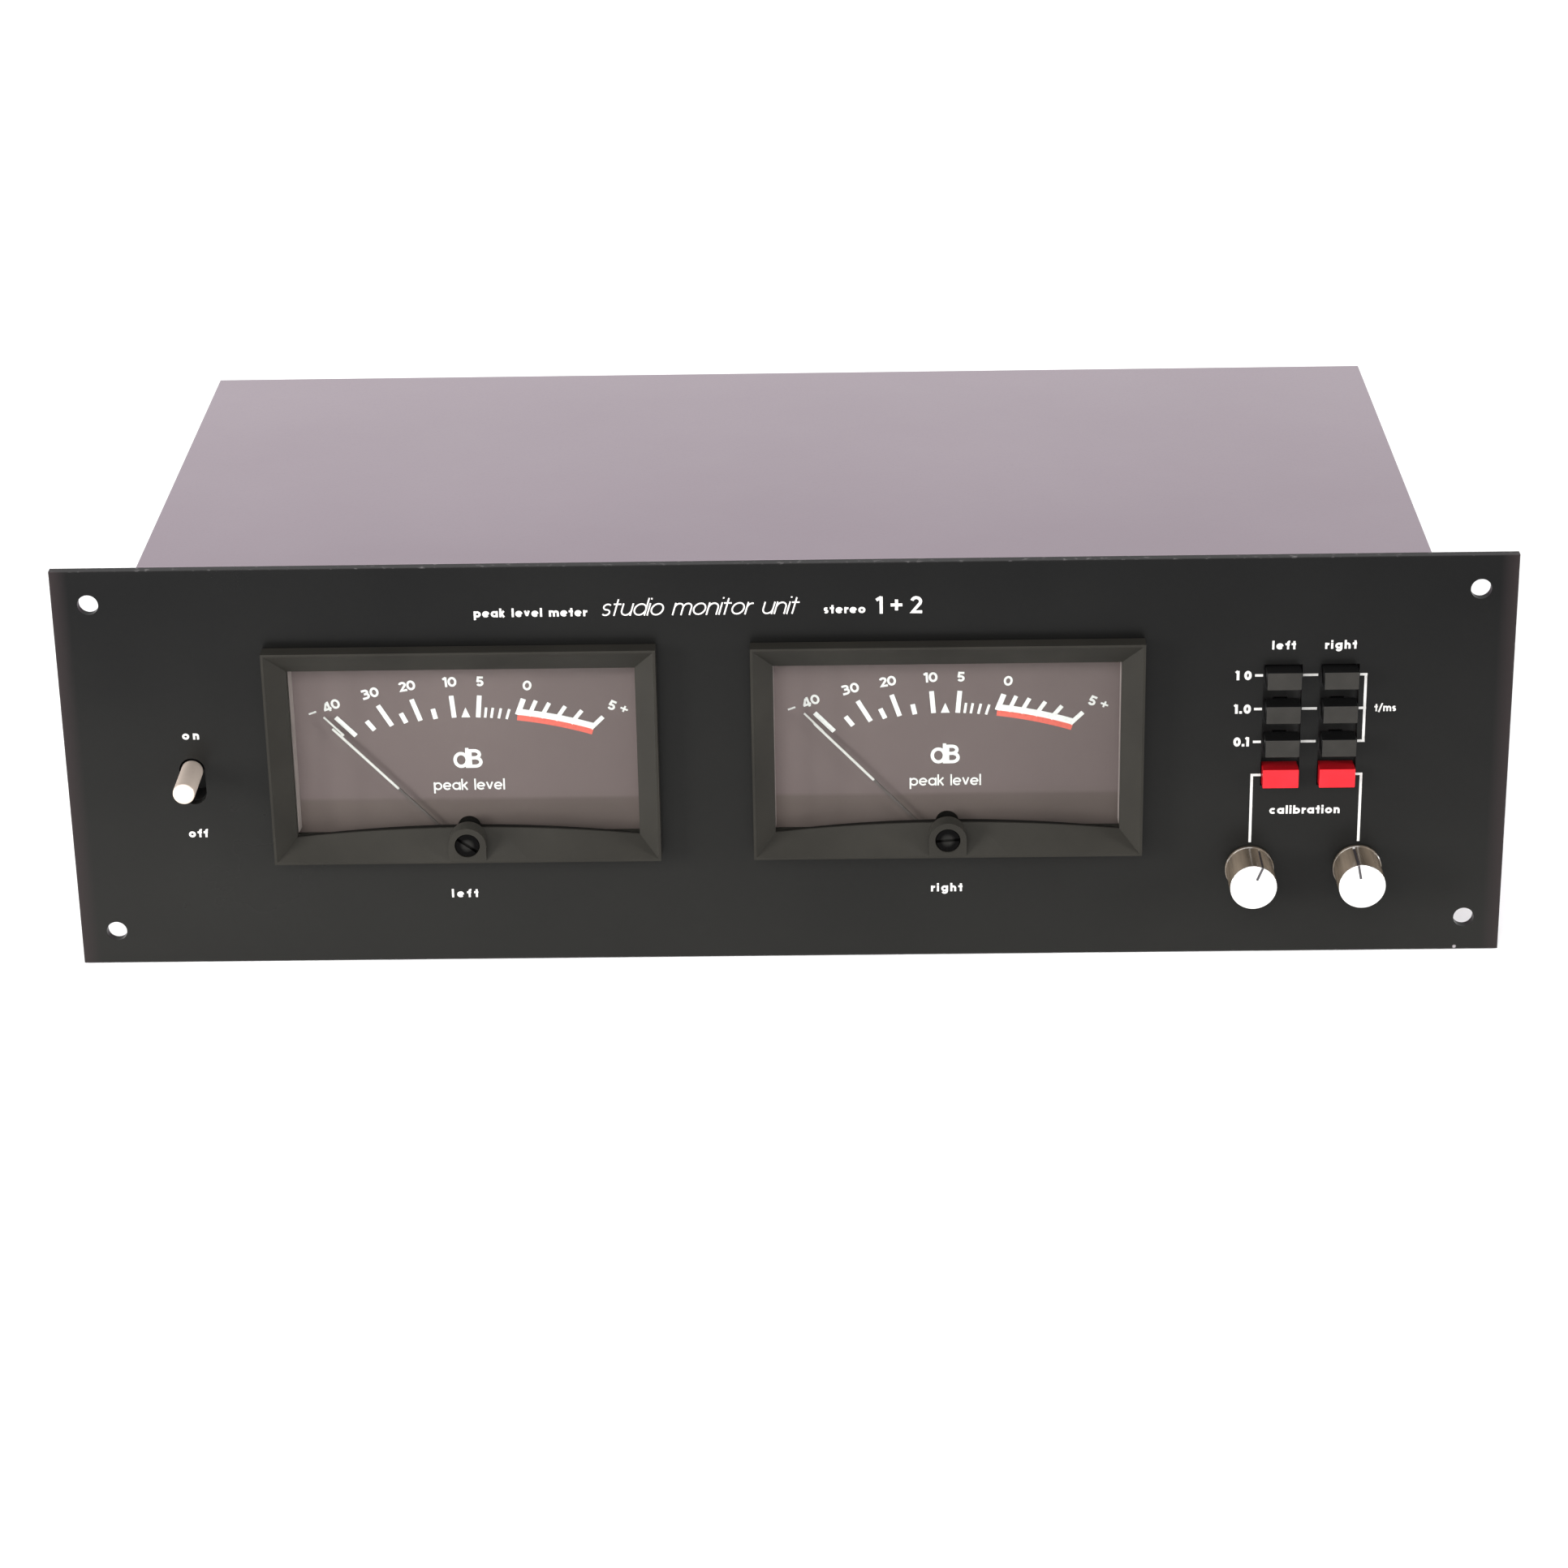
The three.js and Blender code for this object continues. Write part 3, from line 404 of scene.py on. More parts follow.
def pointer_paint(pivot_x, pivot_z, white_from):
    """White on the arm's outer part, and black near the pivot, where it passes over the works."""
    shader = Shader("pointer_paint")
    x, _, z = shader.axes()
    radius = shader.distance(x, z, pivot_x, pivot_z)
    white = shader.ranged(radius, 0, 1, white_from * MM, (white_from + POINTER_PAINT_EDGE) * MM)
    shade = shader.mixed(shader.ranged(shader.noise(700, 3), 0, 1), (0.34, 0.33, 0.31), (0.4, 0.39, 0.37))
    shader.colour(shader.mixed(white, (0.042, 0.034, 0.031), shade))
    shader.roughness(shader.ranged(shader.noise(500, 2), 0.4, 0.55))
    shader.bump(shader.noise(2400, 2), 0.000008)
    return shader.material


def screw_black(centre_x, centre_z):
    """Black moulding, with a painted highlight that turns the middle of the head grey."""
    shader = Shader("zero_screw_black")
    x, _, z = shader.axes()
    ragged = shader.math("MULTIPLY", shader.noise(900, 3), 0.6 * MM)
    radius = shader.math("ADD", shader.distance(x, z, centre_x, centre_z), ragged)
    # Painted highlight: grey in the middle of the head.
    wear_and_highlight = shader.ranged(radius, 1, 0, 1.6 * MM, 2.9 * MM)
    shader.colour(shader.mixed(wear_and_highlight, (0.0006, 0.0005, 0.0005), (0.01, 0.0097, 0.009)))
    shader.roughness(shader.ranged(shader.noise(500, 2), 0.45, 0.6))
    shader.bump(shader.noise(1600, 2), 0.00001)
    shader.set(Specular_IOR_Level=0.04)
    return shader.material


PAINT = panel_paint()
COVER = cover_paint()
BEZEL = moulding("bezel_moulding", (0.0145, 0.0136, 0.0117), (0.0183, 0.0171, 0.0146), (0.5, 0.6), shine=0.04)
BLACK = moulding("black_moulding", (0.006, 0.006, 0.006), (0.01, 0.0095, 0.009), (0.42, 0.55), shine=0.35)
# Key caps: the first colour is the painted shade of their tops and sides, the second their front.
CAP_BLACK = cap_with_painted_shade("cap_black", (0.003, 0.003, 0.003), (0.0135, 0.0126, 0.0112), 0.13)
CAP_RED = cap_with_painted_shade("cap_red", (0.2, 0.0015, 0.004), (0.46, 0.0065, 0.0115), 0.2)
GLASS = clear_glass()
PANEL_INK = ink("panel_ink", (0.34, 0.331, 0.318), (0.42, 0.411, 0.397))
WHITE_INK = ink("white_ink", (0.42, 0.414, 0.398), (0.5, 0.494, 0.478))
RED_INK = ink("red_ink", (0.37, 0.06, 0.042), (0.44, 0.074, 0.053))
DARK_INK = ink("dark_ink", (0.05, 0.045, 0.05), (0.025, 0.022, 0.025))
SPUN = turned_metal("spun_aluminium", (0.95, 0.94, 0.92), 5200)
LEVER = brushed("lever_aluminium", (0.51, 0.43, 0.37), (1, 0.15, 1), (0.4, 0.55), metallic=0.5)
STEEL = brushed("machine_steel", (0.62, 0.62, 0.63), (1, 1, 1))
ZINC = zinc_sheet()
KNOB = knob_gloss()
COPPER = brushed("enamelled_copper", (0.62, 0.26, 0.12), (1, 1, 12), (0.25, 0.35))
IRON = brushed("cast_magnet", (0.3, 0.3, 0.31), (1, 1, 1), (0.45, 0.6))
BOARD = circuit_green()
# Near-black, for the zero forks and for the painted shadow along the foot of each window.
RUBBER_AND_SHADOW_BLACK = moulding("black_rubber_and_painted_shadow", (0.0012, 0.001, 0.0008), (0.003, 0.0025, 0.002), (0.6, 0.75), shine=0.06)
# Grey of the painted reflection in the windows' black side walls.
REFLECTION_GREY = moulding("painted_reflection_grey", (0.165, 0.135, 0.128), (0.195, 0.16, 0.152), (0.5, 0.6))


# ---------------------------------------------------------------- CAD nodes that stay


SHARP_ANGLE = math.radians(50)
BEVELLED_ANGLE = math.radians(35)  # edges that turn by less than this aren't rounded
FLAT_ANGLE = math.radians(0.5)  # faces that agree to within this are one flat
WELD_REACH = 0.00001
ROUNDING_STEPS = 2


def even_shading():
    """A modifier's node group: smooth across gentle angles, sharp across the rest."""
    tree = bpy.data.node_groups.new("even_shading", "GeometryNodeTree")
    for end in ("INPUT", "OUTPUT"):
        tree.interface.new_socket(name="Geometry", in_out=end, socket_type="NodeSocketGeometry")
    add, link = tree.nodes.new, tree.links.new
    smooth, sharp = add("GeometryNodeSetShadeSmooth"), add("GeometryNodeSetShadeSmooth")
    sharp.domain = "EDGE"
    sharp.inputs["Shade Smooth"].default_value = False
    angle = add("GeometryNodeInputMeshEdgeAngle")
    wide = add("FunctionNodeCompare")
    wide.inputs["B"].default_value = SHARP_ANGLE
    link(angle.outputs["Unsigned Angle"], wide.inputs["A"])
    link(add("NodeGroupInput").outputs[0], smooth.inputs["Geometry"])
    link(smooth.outputs[0], sharp.inputs["Geometry"])
    link(wide.outputs[0], sharp.inputs["Selection"])
    link(sharp.outputs[0], add("NodeGroupOutput").inputs[0])
    return tree


EVEN_SHADING = even_shading()


def dress(node, material, rounding=0.0):
    """Gives a CAD node its finish, and rounds its edges by that many millimetres."""
    obj = NODES[node]
    obj.data.materials.clear()
    obj.data.materials.append(material)
    if rounding:
        weld = obj.modifiers.new("weld", "WELD")
        weld.merge_threshold = WELD_REACH
        flats = obj.modifiers.new("whole_flats", "DECIMATE")
        flats.decimate_type = "DISSOLVE"
        flats.angle_limit = FLAT_ANGLE
        bevel = obj.modifiers.new("rounding", "BEVEL")
        bevel.width = rounding * MM
        bevel.segments = ROUNDING_STEPS
        bevel.limit_method = "ANGLE"
        bevel.angle_limit = BEVELLED_ANGLE
        bevel.use_clamp_overlap = True
        shading = obj.modifiers.new("even_shading", "NODES")
        shading.node_group = EVEN_SHADING
        normals = obj.modifiers.new("flat_faces_first", "WEIGHTED_NORMAL")
        normals.keep_sharp = True


for name, material, rounding in (
    ("front_panel", PAINT, 0.3),
    ("top_cover", COVER, 0.9),
    ("rear_panel", COVER, 0.25),
    ("chassis_tray", ZINC, 0.25),
    ("power_switch_body", BLACK, 0),
    ("circuit_board", BOARD, 0),
    ("first_filter_capacitor", STEEL, 0.6),
    ("second_filter_capacitor", STEEL, 0.6),
    ("transformer_core", IRON, 0.3),
    ("transformer_winding", COPPER, 1.2),
    ("mains_inlet", BLACK, 0.4),
    ("fuse_holder", BLACK, 0.4),
    ("fuse_cap", BLACK, 0.4),
):
    dress(name, material, rounding)

for side in SIDES:
    for part, material, rounding in (
        ("panel_bracket", ZINC, 0.3),
        ("front_cover_screw", STEEL, 0.3),
        ("rear_cover_screw", STEEL, 0.3),
        ("meter_bezel", BEZEL, 0.45),
        ("meter_window", GLASS, 0),
        ("meter_case", BLACK, 0.8),
        ("meter_magnet", IRON, 0.5),
        ("meter_coil", COPPER, 0.3),
        ("meter_zero_fork", RUBBER_AND_SHADOW_BLACK, 0),
        ("button_bank", BLACK, 0.4),
        ("slow_button", CAP_BLACK, 0.35),
        ("medium_button", CAP_BLACK, 0.35),
        ("fast_button", CAP_BLACK, 0.35),
        ("calibrate_button", CAP_RED, 0.35),
        ("calibration_pot", STEEL, 0.3),
        ("calibration_shaft", STEEL, 0.3),
        ("input_socket", STEEL, 0.3),
        ("amplifier_chip", BLACK, 0.3),
    ):
        dress(f"{side}_{part}", material, rounding)
    dress(f"{side}_meter_dial", dial_paint(METER_X[side]))
    dress(f"{side}_meter_pointer", pointer_paint(METER_X[side], PIVOT_Z, POINTER_WHITE_FROM[side]))
    screw_x, _, screw_z = middle(f"{side}_meter_zero_screw")
    dress(f"{side}_meter_zero_screw", screw_black(screw_x, screw_z), 0.35)


# ---------------------------------------------------------------- mesh helpers


def piece(name, vertices, faces, material, body, origin=(0, 0, 0), smooth=None):
    """A new mesh piece, with its vertices given about origin in metres, riding on a CAD body."""
    mesh = bpy.data.meshes.new(name)
    mesh.from_pydata(vertices, [], faces)
    mesh.validate()
    mesh.materials.append(material)
    if smooth is not None:
        mesh.shade_smooth()
        mesh.set_sharp_from_angle(angle=math.radians(smooth))
    obj = bpy.data.objects.new(name, mesh)
    obj.location = origin
    bpy.context.scene.collection.objects.link(obj)
    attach(obj, body)
    return obj


LATHE_SMOOTH = 32  # degrees; edges that turn by more than this stay sharp


def lathe(name, profile, angles, material, body, origin, dent=None):
    """Turns a profile of (radius, y) in millimetres about the Y axis through origin.

    The profile runs from the axis at the front to the axis at the back. dent(radius, y, angle) gives the
    radius where the round is broken by a groove.
    """
    vertices, faces = [], []
    rings = [p for p in profile if p[0] > 0]
    for radius, y in rings:
        for angle in angles:
            r = dent(radius, y, angle) if dent else radius
            vertices.append((r * MM * math.sin(angle), y * MM, r * MM * math.cos(angle)))
    count = len(angles)
    for row in range(len(rings) - 1):
        for i in range(count):
            j = (i + 1) % count
            a, b = row * count, (row + 1) * count
            faces.append((a + i, a + j, b + j, b + i))
    front, back = len(vertices), len(vertices) + 1
    vertices += [(0, profile[0][1] * MM, 0), (0, profile[-1][1] * MM, 0)]
    last = (len(rings) - 1) * count
    for i in range(count):
        j = (i + 1) % count
        faces.append((front, j, i))
        faces.append((back, last + i, last + j))
    return piece(name, vertices, faces, material, body, origin, LATHE_SMOOTH)


def full_turn(count):
    return [2 * math.pi * i / count for i in range(count)]


# ---------------------------------------------------------------- printing

INK_HEIGHT = 0.05  # ink stands this far above what it is printed on
LAYER = 0.002  # and each stroke a hair above the one before, so that where they cross they don't flicker
LAYERS = 12  # before the levels start again
NO_LENGTH = 1e-9  # a step shorter than this has no direction
LEAST_MITRE = 0.5  # keeps a sharp corner from running out into a spike


class Printing:
    """Flat strokes and areas of ink on a face that looks towards -Y, gathered into one piece."""

    def __init__(self, y, facing=-1):
        self.y = y
        self.facing = facing
        self.vertices, self.faces, self.strokes = [], [], 0

    def _level(self):
        self.strokes += 1
        return self.y + self.facing * (INK_HEIGHT + LAYER * (self.strokes % LAYERS))

    def _add(self, points, y):
        first = len(self.vertices)
        self.vertices += [tuple(at(self.facing * -x, y, z)) for x, z in points]
        return first

    def area(self, points):
        """A filled outline, given anticlockwise as the reader sees it."""
        count = len(points)
        front = self._add(points, self._level())
        back = self._add(points, self.y)
        self.faces.append([front + i for i in range(count)])
        self.faces.append([back + i for i in reversed(range(count))])
        for i in range(count):
            j = (i + 1) % count
            self.faces.append((front + j, front + i, back + i, back + j))

    def stroke(self, points, width, closed=False):
        """A line of even width through the points, with square ends and mitred corners."""
        count = len(points)
        left, right = [], []
        for i, p in enumerate(points):
            before = points[i - 1] if closed or i else p
            after = points[(i + 1) % count] if closed or i < count - 1 else p
            into = Vector((p[0] - before[0], p[1] - before[1]))
            out = Vector((after[0] - p[0], after[1] - p[1]))
            into = into.normalized() if into.length > NO_LENGTH else out.normalized()
            out = out.normalized() if out.length > NO_LENGTH else into
            along = (into + out).normalized()
            across = Vector((-along.y, along.x))
            mitre = 1 / max(across.dot(Vector((-out.y, out.x))), LEAST_MITRE)
            offset = across * (width / 2 * mitre)
            left.append((p[0] + offset.x, p[1] + offset.y))
            right.append((p[0] - offset.x, p[1] - offset.y))
        y = self._level()
        fl, fr = self._add(left, y), self._add(right, y)
        bl, br = self._add(left, self.y), self._add(right, self.y)
        for i in range(count if closed else count - 1):
            j = (i + 1) % count
            self.faces.append((fl + j, fl + i, fr + i, fr + j))
            self.faces.append((bl + i, bl + j, br + j, br + i))
            self.faces.append((fl + i, fl + j, bl + j, bl + i))
            self.faces.append((fr + j, fr + i, br + i, br + j))
        if not closed:
            end = count - 1
            self.faces.append((fl, bl, br, fr))
            self.faces.append((fl + end, fr + end, br + end, bl + end))

    def text(self, words, left, right, base, height, weight, turn=0.0, slant=0.0, wide=1.0):
        """Words of that x-height in millimetres, spaced out to run from left to right.

        turn, in degrees clockwise, is about the middle of the words. slant leans the letters over, and
        wide stretches them sideways.
        """
        glyphs = [GLYPHS[letter](weight / height / 2) for letter in words]
        ink_width = sum(width for width, _ in glyphs) * height * wide
        gap = (right - left - ink_width) / max(len(words) - 1, 1)
        x, centre = left, ((left + right) / 2, base + height * ASCENDER / 2)
        c, s = math.cos(math.radians(turn)), math.sin(math.radians(turn))
        for width, strokes in glyphs:
            for closed, points in strokes:
                placed = []
                for px, pz in points:
                    qx = x + (px * wide + slant * pz) * height - centre[0]
                    qz = base + pz * height - centre[1]
                    placed.append((centre[0] + qx * c + qz * s, centre[1] - qx * s + qz * c))
                self.stroke(placed, weight, closed)
            x += width * height * wide + gap

    def build(self, name, material, body, slot):
        return piece(name, self.vertices, self.faces, material, body)


ARC_STEP = 15  # degrees


def arc(cx, cz, rx, start, end, rz=None):
    """Points along an arc, angles in degrees anticlockwise from the right."""
    rz = rx if rz is None else rz
    steps = max(3, round(abs(end - start) / ARC_STEP))
    points = []
    for i in range(steps + 1):
        a = math.radians(start + (end - start) * i / steps)
        points.append((cx + rx * math.cos(a), cz + rz * math.sin(a)))
    return points


def ring(cx, cz, rx, rz=None):
    return (True, arc(cx, cz, rx, 0, 360 - ARC_STEP, rz))


def line(*points):
    return (False, list(points))


# A plain geometric alphabet. Each glyph takes h, half the stroke's width, and gives its own width and its
# strokes, closed or open. All sizes are in x-heights.
ASCENDER = 1.42
DESCENDER = -0.42
WAIST = 0.76


def bowl(h):
    return ring(0.5, 0.5, 0.5 - h)


def arch(x, h, reach):
    r = reach / 2
    return (False, [*arc(x + r, 1 - h - r, r, 180, 0), (x + reach, 0)])


def half_bowl(h, low, high, reach):
    """One bowl of a B, from the stem out to reach and back."""
    turn = (reach - h) * 0.55
    curve = arc(turn, (low + high) / 2, reach - h - turn, 90, -90, (high - low) / 2)
    return (False, [(h, high), *curve, (h, low)])


GLYPHS = {
    " ": lambda h: (0.55, []),
    "a": lambda h: (1, [bowl(h), line((1 - h, 0), (1 - h, 1))]),
    "b": lambda h: (1, [line((h, 0), (h, ASCENDER)), bowl(h)]),
    "c": lambda h: (0.88, [(False, arc(0.5, 0.5, 0.5 - h, 48, 312))]),
    "d": lambda h: (1, [bowl(h), line((1 - h, 0), (1 - h, ASCENDER))]),
    "e": lambda h: (1, [(False, arc(0.5, 0.5, 0.5 - h, 0, 318)), line((h, 0.5), (1 - h, 0.5))]),
    "f": lambda h: (
        0.6,
        [
            (False, [(0.2 + h, 0), *arc(0.42 + h, ASCENDER - h - 0.22, 0.22, 180, 80)]),
            line((0, 1 - h), (0.58, 1 - h)),
        ],
    ),
    "g": lambda h: (
        1,
        [bowl(h), (False, [(1 - h, 1), *arc(0.5, h + DESCENDER + 0.36, 0.5 - h, 0, -150, 0.36)])],
    ),
    "h": lambda h: (0.86, [line((h, 0), (h, ASCENDER)), arch(h, h, 0.86 - 2 * h)]),
    "i": lambda h: (2 * h, [line((h, 0), (h, 1)), line((h, ASCENDER - 2 * h), (h, ASCENDER))]),
    "k": lambda h: (
        0.8,
        [
            line((h, 0), (h, ASCENDER)),
            line((h, 0.4), (0.8 - h, 1)),
            line((0.32, 0.55), (0.8 - h, 0)),
        ],
    ),
    "l": lambda h: (2 * h, [line((h, 0), (h, ASCENDER))]),
    "m": lambda h: (
        1.4,
        [line((h, 0), (h, 1)), arch(h, h, 0.7 - h), arch(0.7, h, 0.7 - h)],
    ),
    "n": lambda h: (0.86, [line((h, 0), (h, 1)), arch(h, h, 0.86 - 2 * h)]),
    "o": lambda h: (1, [bowl(h)]),
    "p": lambda h: (1, [line((h, DESCENDER), (h, 1)), bowl(h)]),
    "r": lambda h: (0.55, [line((h, 0), (h, 1)), (False, arc(h + 0.34, 0.62 - h, 0.34, 180, 75))]),
    "s": lambda h: (
        0.66,
        [
            (
                False,
                arc(0.33, 0.75 - h / 2, 0.33 - h, 35, 270, 0.25 - h / 2)
                + arc(0.33, 0.25 + h / 2, 0.33 - h, 80, -145, 0.25 - h / 2),
            )
        ],
    ),
    "t": lambda h: (0.6, [line((0.2 + h, 0), (0.2 + h, 1.34)), line((0, 1 - h), (0.58, 1 - h))]),
    "u": lambda h: (
        0.86,
        [
            (False, [(h, 1), *arc(0.43, 0.43, 0.43 - h, 180, 360, 0.43 - h), (0.86 - h, 1)]),
            line((0.86 - h, 0), (0.86 - h, 0.6)),
        ],
    ),
    "v": lambda h: (0.86, [line((h, 1), (0.43, h)), line((0.86 - h, 1), (0.43, h))]),
    "B": lambda h: (
        0.94,
        [
            line((h, 0), (h, ASCENDER)),
            half_bowl(h, WAIST, ASCENDER - h, 0.86),
            half_bowl(h, h, WAIST, 0.94),
        ],
    ),
    # Not a capital, but the large-bowled small d of "dB".
    "D": lambda h: (1, [bowl(h), line((1 - h, 0), (1 - h, 1.25))]),
    "/": lambda h: (0.6, [line((0, -0.15), (0.6, 1.5))]),
    ".": lambda h: (2 * h, [line((h, 0), (h, 2 * h))]),
    "+": lambda h: (0.9, [line((0, 0.71), (0.9, 0.71)), line((0.45, 0.26), (0.45, 1.16))]),
    "-": lambda h: (0.9, [line((0, 0.71), (0.9, 0.71))]),
    "0": lambda h: (1.06, [ring(0.53, 0.71, 0.53 - h, 0.71 - h)]),
    "1": lambda h: (
        0.5,
        [line((0, 1.12), (0.5 - h, ASCENDER - 0.06)), line((0.5 - h, 0), (0.5 - h, ASCENDER))],
    ),
    "2": lambda h: (
        0.92,
        [
            (
                False,
                [*arc(0.46, ASCENDER - 0.44, 0.46 - h, 165, -35, 0.44 - h), (h * 1.4, h), (0.92, h)],
            )
        ],
    ),
    "3": lambda h: (
        0.9,
        [
            line((0.04, ASCENDER - h), (0.5, ASCENDER - h)),
            (False, arc(0.45, (ASCENDER - h + WAIST) / 2, 0.4 - h, 90, -90, (ASCENDER - h - WAIST) / 2)),
            (False, arc(0.45, (WAIST + h) / 2, 0.45 - h, 90, -90, (WAIST - h) / 2)),
            line((0.26, WAIST), (0.5, WAIST)),
            line((0.0, h), (0.5, h)),
        ],
    ),
    "4": lambda h: (
        0.94,
        [
            line((0.7, 0), (0.7, ASCENDER)),
            line((0.7 - h, ASCENDER - h), (h, 0.44)),
            line((0.02, 0.36), (0.94, 0.36)),
        ],
    ),
    "5": lambda h: (
        0.88,
        [
            line((0.8, ASCENDER - h), (0.22, ASCENDER - h)),
            (False, [(0.25, ASCENDER), (0.17, 0.74), *arc(0.42, 0.46, 0.46 - h, 125, -150, 0.46 - h)]),
        ],
    ),
}

PANEL_FACE = 0.0
# Small bold words: text, left end, right end and foot.
WORDS = (
    ("on", -204.5, -198.7, 83.6),
    ("off", -204.9, -198.3, 47.3),
    ("left", -115.8, -106.6, 23.6),
    ("right", 49.2, 60.1, 23.9),
    ("peak level meter", -103.5, -65.5, 126.7),
    ("stereo", 13.6, 27.6, 126.7),
    ("left", 163.6, 171.6, 111.9),
    ("right", 181.3, 192.0, 111.9),
    ("calibration", 164.5, 188.5, 51.7),
)
WORD_HEIGHT = 2.2
WORD_WEIGHT = 0.72
WORD_WIDE = 1.12
# Words of other sizes: the same, and then x-height, weight and lean.
OTHER_WORDS = (
    ("t/ms", 198.7, 206.0, 89.1, 1.95, 0.55, 0.0),
    ("studio monitor unit", -61.0, 4.5, 126.7, 4.4, 0.52, 0.3),
    ("1+2", 31.2, 46.5, 126.4, 4.3, 1.05, 0.0),
)
# Response times beside the keys: text, left end, right end and middle height.
TIMES = (("10", 151.8, 157.1, 102.6), ("1.0", 151.6, 157.2, 90.4), ("0.1", 151.6, 156.9, 78.4))
TIME_HEIGHT = 2.35
TIME_WEIGHT = 0.92
TIME_DROP = 1.65  # from the middle to the foot
RULE = 0.88  # width of the printed lines
KEY_RULES = ((158.2, 160.9), (174.3, 179.4), (193.4, 195.9))  # beside and between the keys of a row
TIMES_SPINE_X = 195.4
CALIBRATION_RULES = ((161.2, 158.2), (193.1, 195.2))  # each starts at a red key, and turns down further out
CALIBRATION_TOP, CALIBRATION_FOOT = 66.2, 41.2


def panel_legends():
    words = Printing(PANEL_FACE)
    for text, left, right, base in WORDS:
        words.text(text, left, right, base, WORD_HEIGHT, WORD_WEIGHT, wide=WORD_WIDE)
    for text, left, right, base, height, weight, slant in OTHER_WORDS:
        words.text(text, left, right, base, height, weight, slant=slant)
    for text, left, right, z in TIMES:
        words.text(text, left, right, z - TIME_DROP, TIME_HEIGHT, TIME_WEIGHT)
        for start, end in KEY_RULES:
            words.stroke([(start, z), (end, z)], RULE)
    highest, lowest = TIMES[0][3] + RULE / 2, TIMES[-1][3] - RULE / 2
    words.stroke([(TIMES_SPINE_X, highest), (TIMES_SPINE_X, lowest)], RULE)
    for start, turn in CALIBRATION_RULES:
        corner = (turn, CALIBRATION_TOP)
        words.stroke([(start, CALIBRATION_TOP), corner, (turn, CALIBRATION_FOOT)], RULE)
    words.build("panel_legends", PANEL_INK, "chassis", "black_panel")


# ---------------------------------------------------------------- meters

PRINT_SHIFT = {"left": (0.35, -0.45), "right": (-0.5, -0.75)}  # each dial's printing sits a little off
DIAL_FACE = (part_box("left_meter_dial")[0].y - FRONT) / MM
DATUM_Z = 36.9  # the scale is laid out from this height
SCALE_CENTRE = 5.0  # the tick marks aim at this point above the datum
ARC_RADIUS = {"inner": 115, "short": 124, "long": 134, "band": 144}
ARC_TOP = {"inner": 50.9, "short": 54.6, "long": 58.9, "band": 52.7}
BAND = {"white": 2.2, "red": 2.0, "from": 17.9, "to": 43.4}
# Ticks: angle from upright, the arc that each reaches, and width.
TICKS = (
    (-43.75, "long", 1.6),
    (-37.05, "short", 1.6),
    (-30.45, "long", 1.6),
    (-24.85, "short", 1.6),
    (-19.05, "long", 1.6),
    (-12.75, "short", 1.6),
    (-4.95, "long", 1.6),
    (5.25, "long", 1.6),
    (8.15, "short", 0.85),
    (10.75, "short", 0.85),
    (13.85, "short", 0.85),
    (17.05, "short", 0.85),
    (20.75, "long", 1.8),
    (24.95, "long", 1.4),
    (29.35, "long", 1.4),
    (34.45, "long", 1.4),
    (39.55, "long", 1.4),
    (45.75, "long", 1.5),
)
STANDS_ON_BAND = 20  # ticks at more than this angle rise from the white band
TRIANGLE = {"half": 1.5, "height": 3.6}
RED_SHIFT = -0.4
BAND_STEPS = 14
# Numerals: text, x and height of the middle, width, and turn.
NUMERALS = (
    ("-", -51.9, 53.2, 3.2, -20),
    ("40", -45.6, 55.8, 6.1, -20),
    ("30", -32.1, 60.1, 5.9, -15),
    ("20", -19.5, 62.6, 5.8, -10),
    ("10", -4.9, 63.9, 4.7, -3),
    ("5", 5.4, 64.0, 2.7, 2),
    ("0", 21.3, 62.3, 3.1, 9),
    ("5", 50.0, 54.7, 2.7, 24),
    ("+", 54.0, 53.3, 2.7, 24),
)
DIGIT = 2.5  # x-height of the numerals, which are broad and low
DIGIT_WIDE = 1.18
DIGIT_WEIGHT = 0.76
SIGN_WEIGHT = 0.62
# Words: text, left end, right end, foot, x-height, weight and stretch.
DIAL_WORDS = (
    ("D", -4.95, 0.25, 32.2, 5.9, 1.15, 0.88),
    ("B", 0.15, 4.95, 32.2, 4.85, 1.15, 1.06),
    ("peak level", -12.2, 12.2, 24.0, 2.9, 0.56, 1.0),
)


def arc_height(name, x):
    """Height above the datum, at x, of one of the flat arcs that the scale is drawn between."""
    radius = ARC_RADIUS[name]
    return ARC_TOP[name] - radius + math.sqrt(radius * radius - x * x)


def along_tick(angle, name):
    """Where the tick at that angle meets an arc."""
    slope = math.tan(math.radians(angle))
    x = 0.0
    for _ in range(8):
        x = slope * (arc_height(name, x) - SCALE_CENTRE)
    return x, arc_height(name, x)


